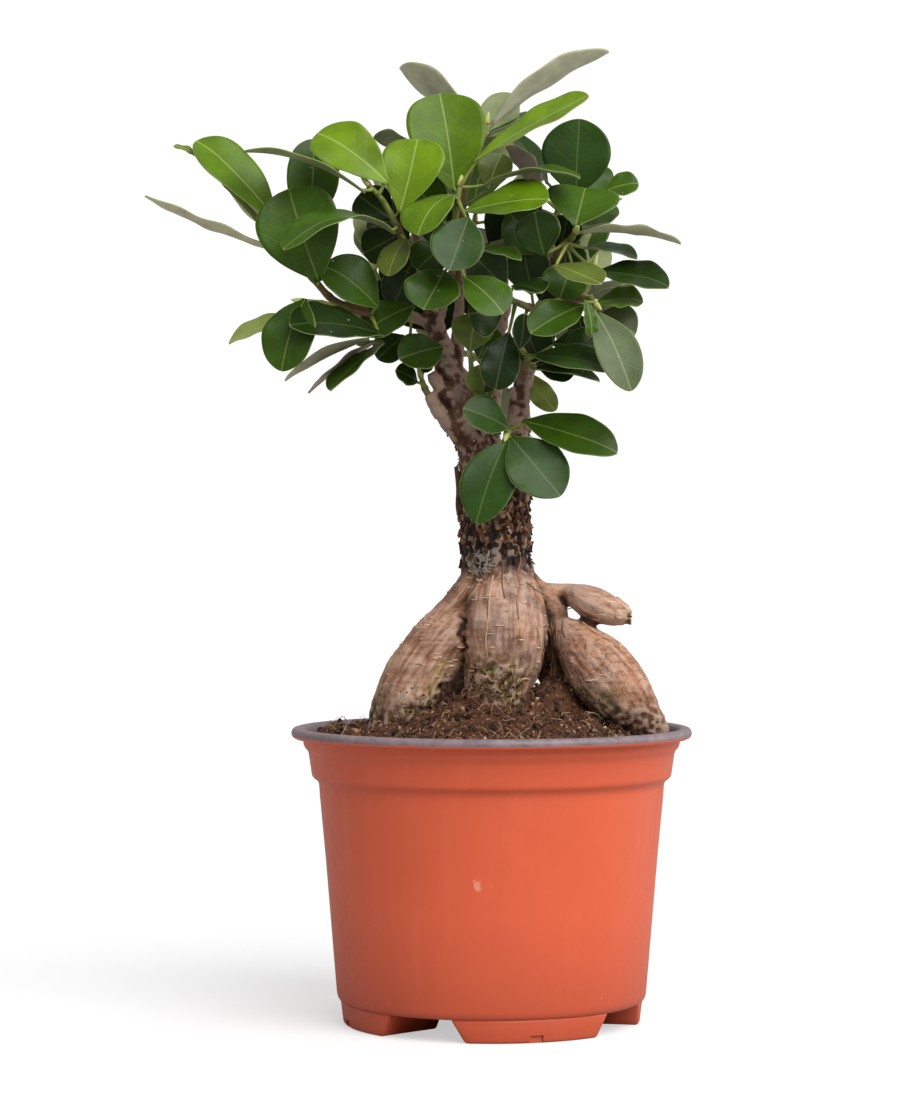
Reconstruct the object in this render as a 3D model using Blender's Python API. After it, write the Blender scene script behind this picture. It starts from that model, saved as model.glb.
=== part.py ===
"""A small potted fig bonsai: swollen roots, two limbs and leafy shoots in a thin plastic nursery pot.

Metres, +Z up. The pot stands on z = 0. The shape tables are in millimetres, measured from the pot's own
axis; the whole plant is shifted by POT_AXIS_X so that the origin is under the middle of its outline.
The front is -Y.
"""

import math

import bmesh
import bpy
from mathutils import Matrix, Vector

MM = 0.001
GAP = 0.35 * MM            # clearance kept between neighbouring pieces

POT_AXIS_X = 20.5 * MM     # the crown leans to the left, so the pot stands right of the middle
POT_SEGMENTS = 48
POT_WALL = 0.9             # mm, sheet thickness after forming
FLOOR_HEIGHT = 6.6         # mm, underside of the pot's floor
FOOT_COUNT = 4
FOOT_TURN = -73.5          # degrees, direction of the first foot; the others follow every 90
FOOT_SPAN_BOTTOM = 54.0    # degrees
FOOT_SPAN_TOP = 65.0
FOOT_INNER_RADIUS = 21.0   # mm
FOOT_NOTCH = (4.0, 0.6, 2.3)   # mm, width, depth and height of the notch in each foot's edge
DRAIN_RADIUS = 3.5         # mm, drainage holes in the channels between the feet

WOOD_VOXEL = 1.15          # mm
WOOD_TRIANGLES = 3200
STEM_SIDES = 5
PETIOLE_WIDTH = 1.5        # mm
LEAF_THICKNESS = 0.9       # mm at the midrib


# ---------------------------------------------------------------- scene and small helpers

for old in list(bpy.data.objects):
    bpy.data.objects.remove(old, do_unlink=True)


def material(name, colour, roughness, metallic=0.0):
    made = bpy.data.materials.new(name)
    made.use_nodes = True
    shader = made.node_tree.nodes["Principled BSDF"]
    shader.inputs["Base Color"].default_value = (*colour, 1.0)
    shader.inputs["Roughness"].default_value = roughness
    shader.inputs["Metallic"].default_value = metallic
    return made


def add_object(name, mesh, finish=None):
    made = bpy.data.objects.new(name, mesh)
    bpy.context.scene.collection.objects.link(made)
    if finish:
        mesh.materials.append(finish)
    return made


def mesh_from(name, build):
    """A mesh from a function that fills a bmesh, in metres, with its faces turned outwards."""
    shape = bmesh.new()
    build(shape)
    if shape.calc_volume(signed=True) < 0:
        bmesh.ops.reverse_faces(shape, faces=shape.faces)
    mesh = bpy.data.meshes.new(name)
    shape.to_mesh(mesh)
    shape.free()
    return mesh


def helper(name, build):
    """A solid that only cuts or joins another one."""
    made = add_object(name, mesh_from(name, build))
    made.hide_render = True
    made.display_type = "WIRE"
    return made


def boolean(target, operation, other):
    step = target.modifiers.new(other.name, "BOOLEAN")
    step.operation = operation
    step.solver = "EXACT"
    step.object = other


def smooth(mesh, angle):
    mesh.shade_smooth()
    mesh.set_sharp_from_angle(angle=math.radians(angle))


def place(point):
    """A point in millimetres from the pot's axis, as metres in the part's frame."""
    return Vector((point[0] * MM + POT_AXIS_X, point[1] * MM, point[2] * MM))


# ---------------------------------------------------------------- pot

# (radius, height) in mm, from the floor's rounded corner up to the rolled lip
POT_OUTSIDE = (
    (44.6, FLOOR_HEIGHT),
    (45.9, 7.2),
    (46.4, 9.0),
    (47.4, 21.0),
    (49.8, 50.0),
    (51.6, 68.5),
    (52.0, 72.2),
    (54.0, 74.0),
    (54.9, 81.2),
    (56.4, 83.0),
    (56.9, 85.3),
    (59.4, 85.6),
    (60.0, 87.1),
    (59.4, 88.5),
    (56.6, 88.5),
)


def turned(profile):
    """A builder for the solid turned from a closed (radius, height) profile about the pot's axis."""

    def build(shape):
        rings = []
        for step in range(POT_SEGMENTS):
            turn = 2 * math.pi * step / POT_SEGMENTS
            rings.append(
                [
                    shape.verts.new(place((r * math.cos(turn), r * math.sin(turn), z)))
                    for r, z in profile
                ]
            )
        for step, ring in enumerate(rings):
            after = rings[(step + 1) % POT_SEGMENTS]
            for low in range(len(profile) - 1):
                shape.faces.new((ring[low], after[low], after[low + 1], ring[low + 1]))
        shape.faces.new([ring[0] for ring in reversed(rings)])
        shape.faces.new([ring[-1] for ring in rings])

    return build


def wedge(turn, spans, radii_in, radii_out, heights, steps=6):
    """A builder for one sector of a ring: the spans and radii are given at its bottom and at its top."""

    def build(shape):
        levels = []
        for span, r_in, r_out, z in zip(spans, radii_in, radii_out, heights):
            outer = []
            inner = []
            for step in range(steps + 1):
                angle = math.radians(turn - span / 2 + span * step / steps)
                outer.append(shape.verts.new(place((r_out * math.cos(angle), r_out * math.sin(angle), z))))
                inner.append(shape.verts.new(place((r_in * math.cos(angle), r_in * math.sin(angle), z))))
            levels.append(outer + inner[::-1])
        low, high = levels
        count = len(low)
        for i in range(count):
            shape.faces.new((low[i], low[(i + 1) % count], high[(i + 1) % count], high[i]))
        shape.faces.new(low[::-1])
        shape.faces.new(high)

    return build


def upright_cylinder(x, y, radius, low, high, sides=12):
    def build(shape):
        bmesh.ops.create_cone(
            shape,
            cap_ends=True,
            segments=sides,
            radius1=radius * MM,
            radius2=radius * MM,
            depth=(high - low) * MM,
            matrix=Matrix.Translation(place((x, y, (low + high) / 2))),
        )

    return build


pot_finish = material("terracotta_plastic", (0.58, 0.13, 0.04), 0.42)
pot = add_object("pot", mesh_from("pot", turned(POT_OUTSIDE)), pot_finish)
inside = [(r - POT_WALL, z) for r, z in POT_OUTSIDE[1:-4]]
inside[0] = (inside[0][0], FLOOR_HEIGHT + POT_WALL)
inside.append((56.0, 85.9))
inside.append((56.6, 90.0))
feet = [FOOT_TURN + 90.0 * step for step in range(FOOT_COUNT)]
for step, turn in enumerate(feet):
    boolean(
        pot,
        "UNION",
        helper(
            f"foot_{step}",
            wedge(
                turn,
                (FOOT_SPAN_BOTTOM, FOOT_SPAN_TOP),
                (FOOT_INNER_RADIUS + 1.2, FOOT_INNER_RADIUS),
                (44.4, 45.3),
                (0.0, FLOOR_HEIGHT + 0.5),
            ),
        ),
    )
boolean(pot, "DIFFERENCE", helper("pot_room", turned(inside)))
for step, turn in enumerate(feet):
    boolean(
        pot,
        "DIFFERENCE",
        helper(
            f"foot_room_{step}",
            wedge(
                turn,
                (FOOT_SPAN_BOTTOM - 3.4, FOOT_SPAN_TOP - 3.0),
                (FOOT_INNER_RADIUS + 2.3, FOOT_INNER_RADIUS + 1.6),
                (43.4, 44.2),
                (POT_WALL, FLOOR_HEIGHT + 2.0),
                steps=5,
            ),
        ),
    )
    notch_width, notch_depth, notch_height = FOOT_NOTCH
    notch_span = math.degrees(notch_width / 44.4)
    boolean(
        pot,
        "DIFFERENCE",
        helper(
            f"notch_{step}",
            wedge(
                turn,
                (notch_span, notch_span),
                (44.4 - notch_depth, 44.4 - notch_depth),
                (47.0, 47.0),
                (-1.0, notch_height),
                steps=2,
            ),
        ),
    )
    angle = math.radians(turn + 45.0)
    boolean(
        pot,
        "DIFFERENCE",
        helper(
            f"drain_{step}",
            upright_cylinder(34 * math.cos(angle), 34 * math.sin(angle), DRAIN_RADIUS, 4.0, 10.0),
        ),
    )
smooth(pot.data, 40)


# ---------------------------------------------------------------- roots, neck and limbs

# Each run is a list of (x, y, z, radius) in mm. Runs overlap where the wood grew together.
WOOD = {
    "neck": (
        (2.6, 0, 122, 11.6), (1.8, 0, 133, 11), (1.4, 0, 140, 10.5), (1.2, 0, 150, 10.6),
        (1.2, 0, 159, 9.7), (0.8, 0, 167, 7),
    ),
    "centre_root": (
        (3, -2, 136, 7.6), (3.5, -4, 128, 11.6), (3.8, -6, 117, 13), (3.2, -7, 107, 11),
        (0.8, -7, 98, 9.4), (-0.5, -6, 88, 8.4), (0, -5, 76, 7),
    ),
    "left_root": (
        (-2, -1, 131, 7.4), (-9, -2.5, 121.6, 8.2), (-16, -4, 113.2, 9.3), (-21, -5, 106, 10),
        (-25, -6, 99, 9.4), (-28.5, -6, 91, 8.2), (-31, -6, 82, 6.5), (-32, -6, 75, 5),
    ),
    "right_shoulder": (
        (7, 1, 131, 6.5), (11.5, 2, 126.5, 5.6), (15.5, 3, 121.5, 4.2), (17.5, 3, 115, 3),
        (19, 3, 108, 2.6), (20, 3, 98, 2.8), (21, 3, 84, 3),
    ),
    "stub_tuber": (
        (13.5, 1, 129.2, 2.4), (20, 0, 128.6, 2.8), (26, -1, 126.6, 4.4), (31.5, -2, 124, 5.4),
        (36.5, -3, 121.9, 5.2), (40, -3.5, 121, 3.8), (41.2, -3.7, 120.7, 2.2),
    ),
    "right_tuber": (
        (16.5, 2, 122, 2.8), (21, 0, 120.5, 3.6), (24.5, -2, 116, 6.4), (29.5, -4, 109.5, 9.4),
        (34.8, -6, 103, 10), (40.3, -8, 97, 8.8), (46, -9, 91.2, 5.6), (49.8, -9, 86.8, 3.2),
        (49, -8.5, 80, 2.0),
    ),
    "back_root": (
        (2, 4, 133, 7), (-1, 12, 123, 9.5), (-4, 20, 112, 10.5), (-7, 26, 99, 9.5), (-9, 29, 87, 8),
        (-10, 30, 76, 6),
    ),
    "back_right_root": (
        (6, 4, 130, 6), (13, 11, 120, 7), (19, 18, 109, 7.5), (24, 24, 98, 6.8), (27, 28, 86, 5),
        (28, 29, 76, 4),
    ),
    "left_limb": (
        (-0.8, 0, 157, 8.2), (-3, 0, 166, 6.5), (-5.8, 0, 174, 5.4), (-8.9, 0, 183, 5.1),
        (-12.2, 0, 192, 4.2), (-14.6, 0, 201, 3.6), (-17.2, 0, 210, 2.8), (-19, 1, 219, 2.3),
        (-20.5, 2, 227, 2.0),
    ),
    "right_limb": (
        (5, 0, 157, 7), (6.4, 0, 167, 4.9), (7.6, 0, 177, 3.8), (9, 0, 190, 3.2), (12, 2, 202, 2.8),
        (15.6, 4, 213, 2.5), (17.3, 5, 223, 2.3), (17.8, 5, 230, 2.0),
    ),
    "middle_branch": (
        (-11.6, 0, 190, 3), (-10.6, 4, 199, 2.4), (-10, 5, 209, 2.0), (-9.4, 5, 219, 1.9),
        (-8.8, 4.2, 227, 1.8),
    ),
    "back_branch": (
        (0.5, 3, 162, 5.5), (-1, 9, 174, 4), (0, 14, 188, 3.1), (2, 18, 202, 2.5), (4, 21, 214, 2.0),
        (5, 23, 221, 1.8),
    ),
    "left_side_branch": (
        (-8.4, -1, 173, 3), (-12.6, -2.5, 179, 2.5), (-16.6, -4, 184.5, 2.0), (-18.8, -5, 188, 1.8),
    ),
    "left_stub": ((-12.4, -1, 187, 2.2), (-15.2, -3.2, 190, 1.9), (-18.3, -5, 194.4, 1.7)),
    "right_stub": ((8.6, -1, 185.5, 1.8), (6.6, -3, 188, 1.6), (5.2, -4.4, 190.4, 1.4)),
    "left_twig": (
        (-17, 0, 209, 2.2), (-24, -3, 211.5, 1.8), (-31, -6, 212.6, 1.8), (-36, -8.3, 213, 1.8),
    ),
    "front_twig": (
        (-16, -1, 206, 2), (-15, -7, 211.5, 1.6), (-14, -10.5, 215, 1.6), (-13.4, -13, 217.5, 1.7),
    ),
    "low_left_twig": ((-13.4, 0, 196.5, 2), (-18.5, -2, 200, 1.8), (-23, -3.6, 201.8, 1.8)),
    "right_twig": ((16, 4, 212, 2), (20, -1, 214.6, 1.8), (22.5, -4.8, 215.6, 1.8)),
    "back_left_twig": (
        (-1, 12, 182, 2.4), (-8, 18, 194, 2), (-16, 23, 204, 1.8), (-22, 25.6, 210, 1.8),
    ),
    "back_right_twig": (
        (1, 16, 195, 2.2), (8, 21, 203, 1.8), (15, 25, 209, 1.8), (20, 27.6, 212.2, 1.8),
    ),
}


def along(points, steps):
    """The run through these points, rounded off between them: a list of (place, radius)."""
    given = [Vector(p) for p in points]
    given = [2 * given[0] - given[1], *given, 2 * given[-1] - given[-2]]
    run = []
    for a, b, c, d in zip(given, given[1:], given[2:], given[3:]):
        for step in range(steps):
            t = step / steps
            square = (2 * a - 5 * b + 4 * c - d) * t**2
            cube = (3 * b - a - 3 * c + d) * t**3
            run.append(0.5 * (2 * b + (c - a) * t + square + cube))
    run.append(given[-2])
    return [(place(p), p[3] * MM) for p in run]


def tube(shape, run, sides):
    """A closed tube through a run of (place, radius), its ends closed by flat caps."""
    rings = []
    across = None
    for i, (centre, radius) in enumerate(run):
        ahead = (run[min(i + 1, len(run) - 1)][0] - run[max(i - 1, 0)][0]).normalized()
        if across is None:
            across = ahead.orthogonal()
        across = (across - ahead * across.dot(ahead)).normalized()
        third = ahead.cross(across)
        ring = []
        for side in range(sides):
            turn = 2 * math.pi * side / sides
            ring.append(shape.verts.new(centre + (across * math.cos(turn) + third * math.sin(turn)) * radius))
        rings.append(ring)
    for ring, after in zip(rings, rings[1:]):
        for side in range(sides):
            nxt = (side + 1) % sides
            shape.faces.new((ring[side], ring[nxt], after[nxt], after[side]))
    shape.faces.new(rings[0][::-1])
    shape.faces.new(rings[-1])


def wood_runs(shape):
    for points in WOOD.values():
        tube(shape, along(points, 3), 12)


def settled_mesh(target, name):
    """The object's mesh with its modifiers applied."""
    bpy.context.view_layer.update()
    graph = bpy.context.evaluated_depsgraph_get()
    made = bpy.data.meshes.new_from_object(target.evaluated_get(graph))
    made.name = name
    return made


bark = material("fig_bark", (0.24, 0.15, 0.10), 0.8)
wood = add_object("roots_and_limbs", mesh_from("wood", wood_runs), bark)
grown = wood.modifiers.new("grown_together", "REMESH")
grown.mode = "VOXEL"
grown.voxel_size = WOOD_VOXEL * MM
dense = settled_mesh(wood, "wood_dense")
wood.modifiers.clear()
wood.data = dense
thinned = wood.modifiers.new("fewer_faces", "DECIMATE")
thinned.use_collapse_triangulate = True
thinned.ratio = WOOD_TRIANGLES / (2 * len(dense.polygons))
thin = settled_mesh(wood, "wood")
wood.modifiers.clear()
wood.data = thin
thin.shade_smooth()

wood_cutter = add_object("wood_room", thin.copy())
wood_cutter.hide_render = True
wood_cutter.display_type = "WIRE"
swell = wood_cutter.modifiers.new("clearance", "DISPLACE")
swell.strength = GAP
swell.mid_level = 0.0


# ---------------------------------------------------------------- soil

# (radius, height) in mm of the soil's crumbly top, from the wall to the middle, then down inside the pot
SOIL_TOP = ((53.7, 83.6), (50, 85.2), (44, 86.4), (36, 88.6), (27, 91.6), (17, 94.6), (7, 96.0))
SOIL_SIDE = ((44.9, 8.2), (46.1, 21.0), (48.5, 50.0), (50.3, 68.5), (50.7, 72.4), (52.7, 74.4), (53.4, 81.0))
SOIL_SEGMENTS = 32


def soil_height(x, y, low):
    """The soil is heaped between the roots, most of all on the right of the middle."""
    heap = 9.5 * math.exp(-((x - 20) ** 2 + (y + 2) ** 2) / 80.0)
    heap += 4.0 * math.exp(-((x + 9) ** 2 + (y + 12) ** 2) / 60.0)
    ripple = 0.7 * math.sin(0.31 * x + 0.6) * math.cos(0.27 * y) + 0.5 * math.sin(0.53 * x - 0.41 * y)
    return low + heap + ripple


def soil_plug(shape):
    rings = []
    for radius, height in SOIL_SIDE + SOIL_TOP:
        ring = []
        for step in range(SOIL_SEGMENTS):
            turn = 2 * math.pi * step / SOIL_SEGMENTS
            x = radius * math.cos(turn)
            y = radius * math.sin(turn)
            top = (radius, height) in SOIL_TOP[1:]
            ring.append(shape.verts.new(place((x, y, soil_height(x, y, height) if top else height))))
        rings.append(ring)
    for ring, after in zip(rings, rings[1:]):
        for step in range(SOIL_SEGMENTS):
            nxt = (step + 1) % SOIL_SEGMENTS
            shape.faces.new((ring[step], ring[nxt], after[nxt], after[step]))
    shape.faces.new(rings[0][::-1])
    shape.faces.new(rings[-1])


soil_finish = material("peat_and_coir", (0.09, 0.05, 0.03), 0.95)
soil = add_object("soil", mesh_from("soil", soil_plug), soil_finish)
boolean(soil, "DIFFERENCE", wood_cutter)
smooth(soil.data, 50)


# ---------------------------------------------------------------- leafy shoots

# Each shoot: the stem's points (x, y, z, radius), then its leaves. A leaf is the base and tip of its blade,
# its width, the way its upper side faces, and how far it arches as a share of its length.
SHOOTS = {
    "shoot_top": (
        (
            (-8.7, 4, 226, 0.9), (-9, 2, 240, 1.2), (-7, 1, 254, 1.0), (-3, 2, 264, 0.9),
            (-1.6, 2, 269.5, 0.7),
        ),
        (
            ((-4, 4, 268), (-28, 11, 290), 19, (0.5, 0.3, 0.8), 0.07),
            ((0, 3, 269.5), (36, 10, 292), 19, (-0.45, 0.16, 0.9), 0.09),
            ((-1, 6, 267), (3, 33, 276), 18, (0, -0.3, 1), 0.05),
            ((-20, -2, 257), (-35, 2, 266), 12, (0.4, 0.4, 0.8), 0.03),
            ((-1, -6, 249), (3, -3, 260), 11, (0, -1, 0.5), 0.05),
        ),
    ),
    "shoot_upper_front": (
        (
            (-9.4, 5, 218, 0.9), (-10.5, -4, 226, 1.2), (-11, -11, 236, 1.1), (-10.5, -15, 243, 1.0),
            (-9.5, -14, 249, 0.8),
        ),
        (
            ((-11, -13, 247.5), (-15.5, -7, 277.5), 24, (0, -1, 0.25), 0.06),
            ((-6.5, -17, 255.5), (28, -19, 275), 17, (-0.4, -0.5, 0.9), 0.02),
            ((-8.5, -20, 241), (16.2, -30, 244), 18, (0, -0.6, 0.8), 0.05),
            ((-3, -16, 249), (25.7, -22, 251), 16, (0, -0.15, 1), 0.10),
            ((-11, -20, 246), (-21.5, -34, 233), 16, (-0.3, -0.6, 0.8), 0.12),
            ((-7, -29, 238.5), (-12.5, -38, 222.5), 16, (0.1, -1, 0.5), 0.05),
            ((-14, -7, 239), (-23, -6, 251), 14, (-0.3, -1, 0.3), 0.05),
            ((-13, -13, 232), (-22, -19, 224), 14, (-0.3, -1, 0.4), 0.05),
        ),
    ),
    "shoot_upper_left": (
        (
            (-19.2, 1, 219, 0.9), (-21, -6, 225, 1.2), (-25, -14, 231, 1.1), (-28, -20, 237, 1.0),
            (-32, -23, 244, 0.8), (-36, -24, 248.5, 0.7),
        ),
        (
            ((-27, -24, 240.5), (-22, -17, 263), 19, (-0.2, -1, 0.35), 0.05),
            ((-36.5, -24, 251), (-52.5, -14, 265.5), 18, (-0.4, -0.8, 0.8), 0.04),
            ((-37, -28, 246), (-72, -35, 258), 15, (0, 0.05, 1), 0.10),
            ((-28.5, -24, 234.5), (-60, -42, 227.5), 17, (0, -0.25, 1), 0.20),
            ((-31, -18, 238.5), (-41.5, -14, 245.5), 12, (0, -1, 0.4), 0.05),
            ((-30, -14, 235), (-40.5, -12, 228), 12, (0, -1, 0.3), 0.05),
            ((-27, -20, 232.5), (-31, -24, 221), 12, (0.5, 0.8, 0.3), 0.15),
        ),
    ),
    "shoot_left": (
        (
            (-35, -8, 213, 0.9), (-43, -12, 214, 1.1), (-48, -15, 216.5, 1.1), (-53, -18, 222, 1.0),
            (-60, -20, 229, 1.0), (-68, -20, 238, 0.9), (-78, -20, 249, 0.8), (-85, -20, 256, 0.6),
        ),
        (
            ((-52, -22, 220.5), (-60.5, -23, 247.5), 26, (-0.1, -1, 0.3), 0.10),
            ((-64.5, -22, 238.5), (-87, -20, 262), 18, (0.5, -0.8, 0.5), 0.06),
            ((-61.5, -18, 228.5), (-102, -24, 244.5), 15, (0.3, 0.3, 1), 0.02),
            ((-61, -14, 231), (-77, -12, 248), 14, (0.6, 0.4, 0.7), 0.06),
            ((-55.5, -9, 236), (-53, -6, 264), 16, (0.1, -1, 0.3), 0.05),
            ((-86, -20, 257), (-93.5, -20, 260.5), 3.5, (0, -0.5, 1), 0.05),
        ),
    ),
    "shoot_left_middle": (
        (
            (-31, -6, 212.6, 0.9), (-36, -14, 211.5, 1.1), (-42, -20, 212.5, 1.0),
            (-50, -24, 214, 0.9), (-55, -26, 214.5, 0.7),
        ),
        (
            ((-34.5, -19, 212.5), (-48.5, -20, 226.5), 19, (0.1, -1, 0.6), 0.05),
            ((-34, -22, 208), (-58.5, -38, 210), 19, (0, -0.65, 0.8), 0.04),
            ((-54.5, -29, 212), (-60, -34, 193.5), 17, (-0.3, -1, 0.3), 0.10),
            ((-56, -18, 208), (-77.5, -14, 204), 14, (0, 0.35, 1), 0.06),
        ),
    ),
    "shoot_left_low": (
        ((-21, -3, 201, 0.9), (-27, -5, 203, 1.1), (-33, -8, 203.5, 0.9), (-37, -10, 203, 0.7)),
        (
            ((-37.5, -11, 202.5), (-60.5, -20, 192), 13, (-0.2, 0.15, 1), 0.10),
            ((-36.5, -10, 201), (-53, -20, 188), 13, (-0.3, 0.15, 1), 0.06),
            ((-31.5, -15, 201), (-46, -28, 188.5), 14, (-0.3, -0.2, 1), 0.04),
            ((-18, -9, 202), (-27.5, -18, 198), 13, (0, -1, 0.6), 0.05),
            ((-21, -11, 213), (-32, -16, 207), 13, (0, -1, 0.6), 0.05),
        ),
    ),
    "shoot_side_branch": (
        ((-17.5, -4.3, 185.5, 0.9), (-20, -6, 190, 1.0), (-21, -7, 193, 0.7)),
        (
            ((-22, -8, 191.5), (-28.5, -12, 195), 8, (0, -0.9, 0.6), 0.05),
            ((-20.5, -7, 194.5), (-18.5, -12, 200), 7, (0, -1, 0.5), 0.05),
        ),
    ),
    "shoot_centre_front": (
        ((-13.5, -12, 217, 0.9), (-12, -18, 223, 1.0), (-10.5, -22, 227, 0.9), (-9, -25, 229, 0.7)),
        (
            ((-14, -26, 223.5), (-20, -35, 211.5), 17, (-0.1, -1, 0.5), 0.06),
            ((-8.5, -28, 221.5), (3, -36, 210.5), 14, (0.2, -1, 0.6), 0.05),
            ((-4, -26, 229.5), (8.5, -28, 226.5), 12, (0, -0.3, 1), 0.05),
        ),
    ),
    "shoot_centre": (
        ((15.6, 4, 213, 0.9), (11, -6, 214, 1.1), (7, -14, 215, 0.9), (4.5, -17, 215, 0.7)),
        (
            ((6, -20, 219.5), (14.5, -27, 217), 13, (0, -0.4, 1), 0.05),
            ((3, -18, 211.5), (-7, -20, 211), 17, (0, -1, 0.3), 0.05),
            ((5, -15, 206), (1, -19, 189), 12, (0, -1, 0.3), 0.08),
            ((4, -12, 219), (-6, -14, 229), 14, (0, -1, 0.3), 0.05),
            ((9, -5, 210), (14, -8, 198), 13, (0, -1, 0.3), 0.05),
        ),
    ),
    "shoot_inner": (
        ((-9.5, -3, 183, 0.9), (-6.5, -8, 187, 1.0), (-6, -10, 194, 0.9), (-6.4, -11, 199, 0.7)),
        (
            ((-5.5, -12.5, 189), (-9, -15, 194.5), 7, (0, -1, 0.4), 0.05),
            ((-3.5, -11, 188.5), (0.5, -13.5, 194), 7, (0, -1, 0.4), 0.05),
            ((-6.4, -13, 200.5), (-4.8, -14, 211.5), 13, (0, -1, 0.3), 0.05),
        ),
    ),
    "shoot_drooping": (
        ((7.6, 0, 177, 0.9), (6.2, -5, 177.5, 1.1), (4.8, -10, 176.8, 1.0), (4.4, -12, 176, 0.8)),
        (
            ((3, -16, 178), (-3, -29, 186), 17, (0, -0.9, 0.8), 0.05),
            ((3, -15, 173.5), (-5, -21, 150), 16, (-0.2, -1, 0.2), 0.08),
            ((5.8, -15, 174.5), (20, -22, 158), 20, (0.2, -1, 0.3), 0.06),
            ((11, -11, 180.5), (37, -24, 171), 16, (0.1, -0.9, 0.6), 0.02),
            ((12, -7, 184), (17.5, -1, 193.5), 10, (0, 1, 0.4), 0.05),
        ),
    ),
    "shoot_right_front": (
        (
            (20, -1, 214.6, 0.9), (24, -8, 216, 1.1), (27, -14, 216, 1.0), (29, -18, 215.5, 0.9),
            (30, -20, 214.5, 0.7),
        ),
        (
            ((27, -22, 213.5), (11, -32, 204.5), 13, (-0.1, -0.9, 0.6), 0.05),
            ((30, -22, 211.5), (39, -30, 188), 14.5, (0.2, -1, 0.3), 0.08),
            ((27, -26, 215), (29, -28, 204), 5, (0.5, -0.9, 0.2), 0.05),
            ((30.5, -14, 214.5), (44, -16, 215), 13, (0, -0.35, 1), 0.05),
            ((31.5, -12, 211.5), (42.5, -12, 205.5), 13, (0, -1, 0.5), 0.05),
        ),
    ),
    "shoot_right_upper": (
        (
            (17.3, 5, 222, 0.9), (18.5, -1, 228, 1.2), (21, -8, 232, 1.1), (23.5, -15, 234, 1.0),
            (24.5, -20, 235.5, 0.8),
        ),
        (
            ((24.5, -22, 238), (27.5, -7, 251.5), 22, (0, -0.9, 0.8), 0.05),
            ((25.5, -16, 233.5), (55.5, -20, 231.5), 16, (0, 0.12, 1), 0.07),
            ((27.5, -10, 231.5), (43, -13, 228.5), 13, (0, -0.3, 1), 0.05),
            ((30.5, -13, 225), (52, -19, 221.5), 17, (0, -0.55, 0.85), 0.05),
            ((18, -19, 225.5), (31.5, -30, 219), 13, (0, -0.45, 0.9), 0.05),
            ((15.5, -18, 228.5), (12.5, -21, 241), 14, (0, -1, 0.3), 0.05),
            ((15, -5, 230), (5, -8, 242), 15, (0, -1, 0.3), 0.05),
            ((24, -10, 227), (20, -13, 216), 14, (0, -1, 0.3), 0.05),
        ),
    ),
    "shoot_right_top": (
        (
            (17.8, 5, 227, 0.9), (17.8, 5.5, 233, 1.2), (19, 6, 240, 1.1), (21, 5, 246, 1.0),
            (22.5, 4, 250, 0.7),
        ),
        (
            ((25.3, -1, 247.5), (26.3, -2, 270.5), 21, (0, -1, 0.2), 0.05),
            ((33.5, -4, 248.5), (43.7, -6, 251), 9, (0.1, -0.9, 0.6), 0.05),
            ((14.5, -1, 248), (4.5, -4, 262.5), 13, (0.6, 0.35, 0.7), 0.05),
            ((17, 6, 252), (5.5, 5, 267), 13, (0.5, -0.5, 0.8), 0.05),
            ((15, 6, 241), (3, 2, 250), 15, (0, -1, 0.4), 0.05),
            ((25, 8, 240), (38, 12, 246), 15, (0, -0.7, 0.8), 0.05),
        ),
    ),
    "shoot_right_low": (
        ((9.2, 0, 192, 0.9), (10, -6, 195, 1.1), (10.5, -11, 198, 0.9), (9.5, -14, 200, 0.7)),
        (
            ((12, -16, 199), (35.5, -26, 194.5), 16, (0, -0.5, 0.85), 0.05),
            ((12, -11, 195.5), (32, -12, 192), 13, (0, -0.3, 1), 0.04),
            ((18, -9, 203), (31.5, -11, 201.5), 12, (0, -1, 0.6), 0.05),
            ((8, -22, 200.5), (9.3, -25, 211), 6, (0, -1, 0), 0.03),
        ),
    ),
    "shoot_back_top": (
        ((4.6, 22.4, 219, 0.9), (4, 26, 232, 1.2), (2, 27, 243, 1.0), (0, 27, 250, 0.7)),
        (
            ((1, 29, 253), (-4, 34, 276), 20, (0, 1, 0.3), 0.06),
            ((4, 29, 250), (24, 38, 264), 18, (0, 0.6, 0.8), 0.08),
            ((-2, 30, 248), (-22, 42, 260), 19, (0, 0.6, 0.8), 0.08),
            ((3, 32, 244), (10, 56, 248), 19, (0, 0.3, 1), 0.10),
            ((0, 32, 240), (-8, 54, 236), 18, (0, 0.5, 0.9), 0.08),
        ),
    ),
    "shoot_back_right": (
        ((20, 27.6, 212.4, 0.9), (26, 33, 217, 1.1), (30, 36, 223, 1.0), (32, 37, 229, 0.7)),
        (
            ((33, 38, 231), (36, 44, 250), 18, (0.3, 0.8, 0.5), 0.06),
            ((34, 36, 228), (52, 36, 234), 17, (0.2, 0.3, 1), 0.08),
            ((32, 40, 224), (36, 60, 221), 18, (0, 0.4, 1), 0.08),
            ((28, 38, 220), (20, 58, 212), 18, (-0.2, 0.6, 0.8), 0.08),
            ((29, 36, 217), (44, 44, 210), 16, (0.4, 0.6, 0.7), 0.06),
        ),
    ),
    "shoot_back_left": (
        ((-22, 25.6, 210.2, 0.9), (-28, 30, 216, 1.1), (-33, 33, 222, 1.0), (-36, 34, 228, 0.7)),
        (
            ((-36, 37, 231), (-32, 46, 250), 18, (-0.2, 0.9, 0.4), 0.06),
            ((-39, 34, 229), (-60, 36, 236), 17, (-0.2, 0.3, 1), 0.08),
            ((-36, 38, 224), (-44, 59, 221), 18, (-0.1, 0.5, 0.9), 0.08),
            ((-30, 36, 218), (-22, 58, 213), 18, (0, 0.6, 0.8), 0.08),
            ((-31, 33, 215), (-44, 46, 211), 16, (-0.4, 0.6, 0.7), 0.06),
        ),
    ),
    "shoot_back_low": (
        ((0.2, 14, 188, 0.9), (-1, 22, 192, 1.1), (-2, 28, 197, 0.7)),
        (
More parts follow.
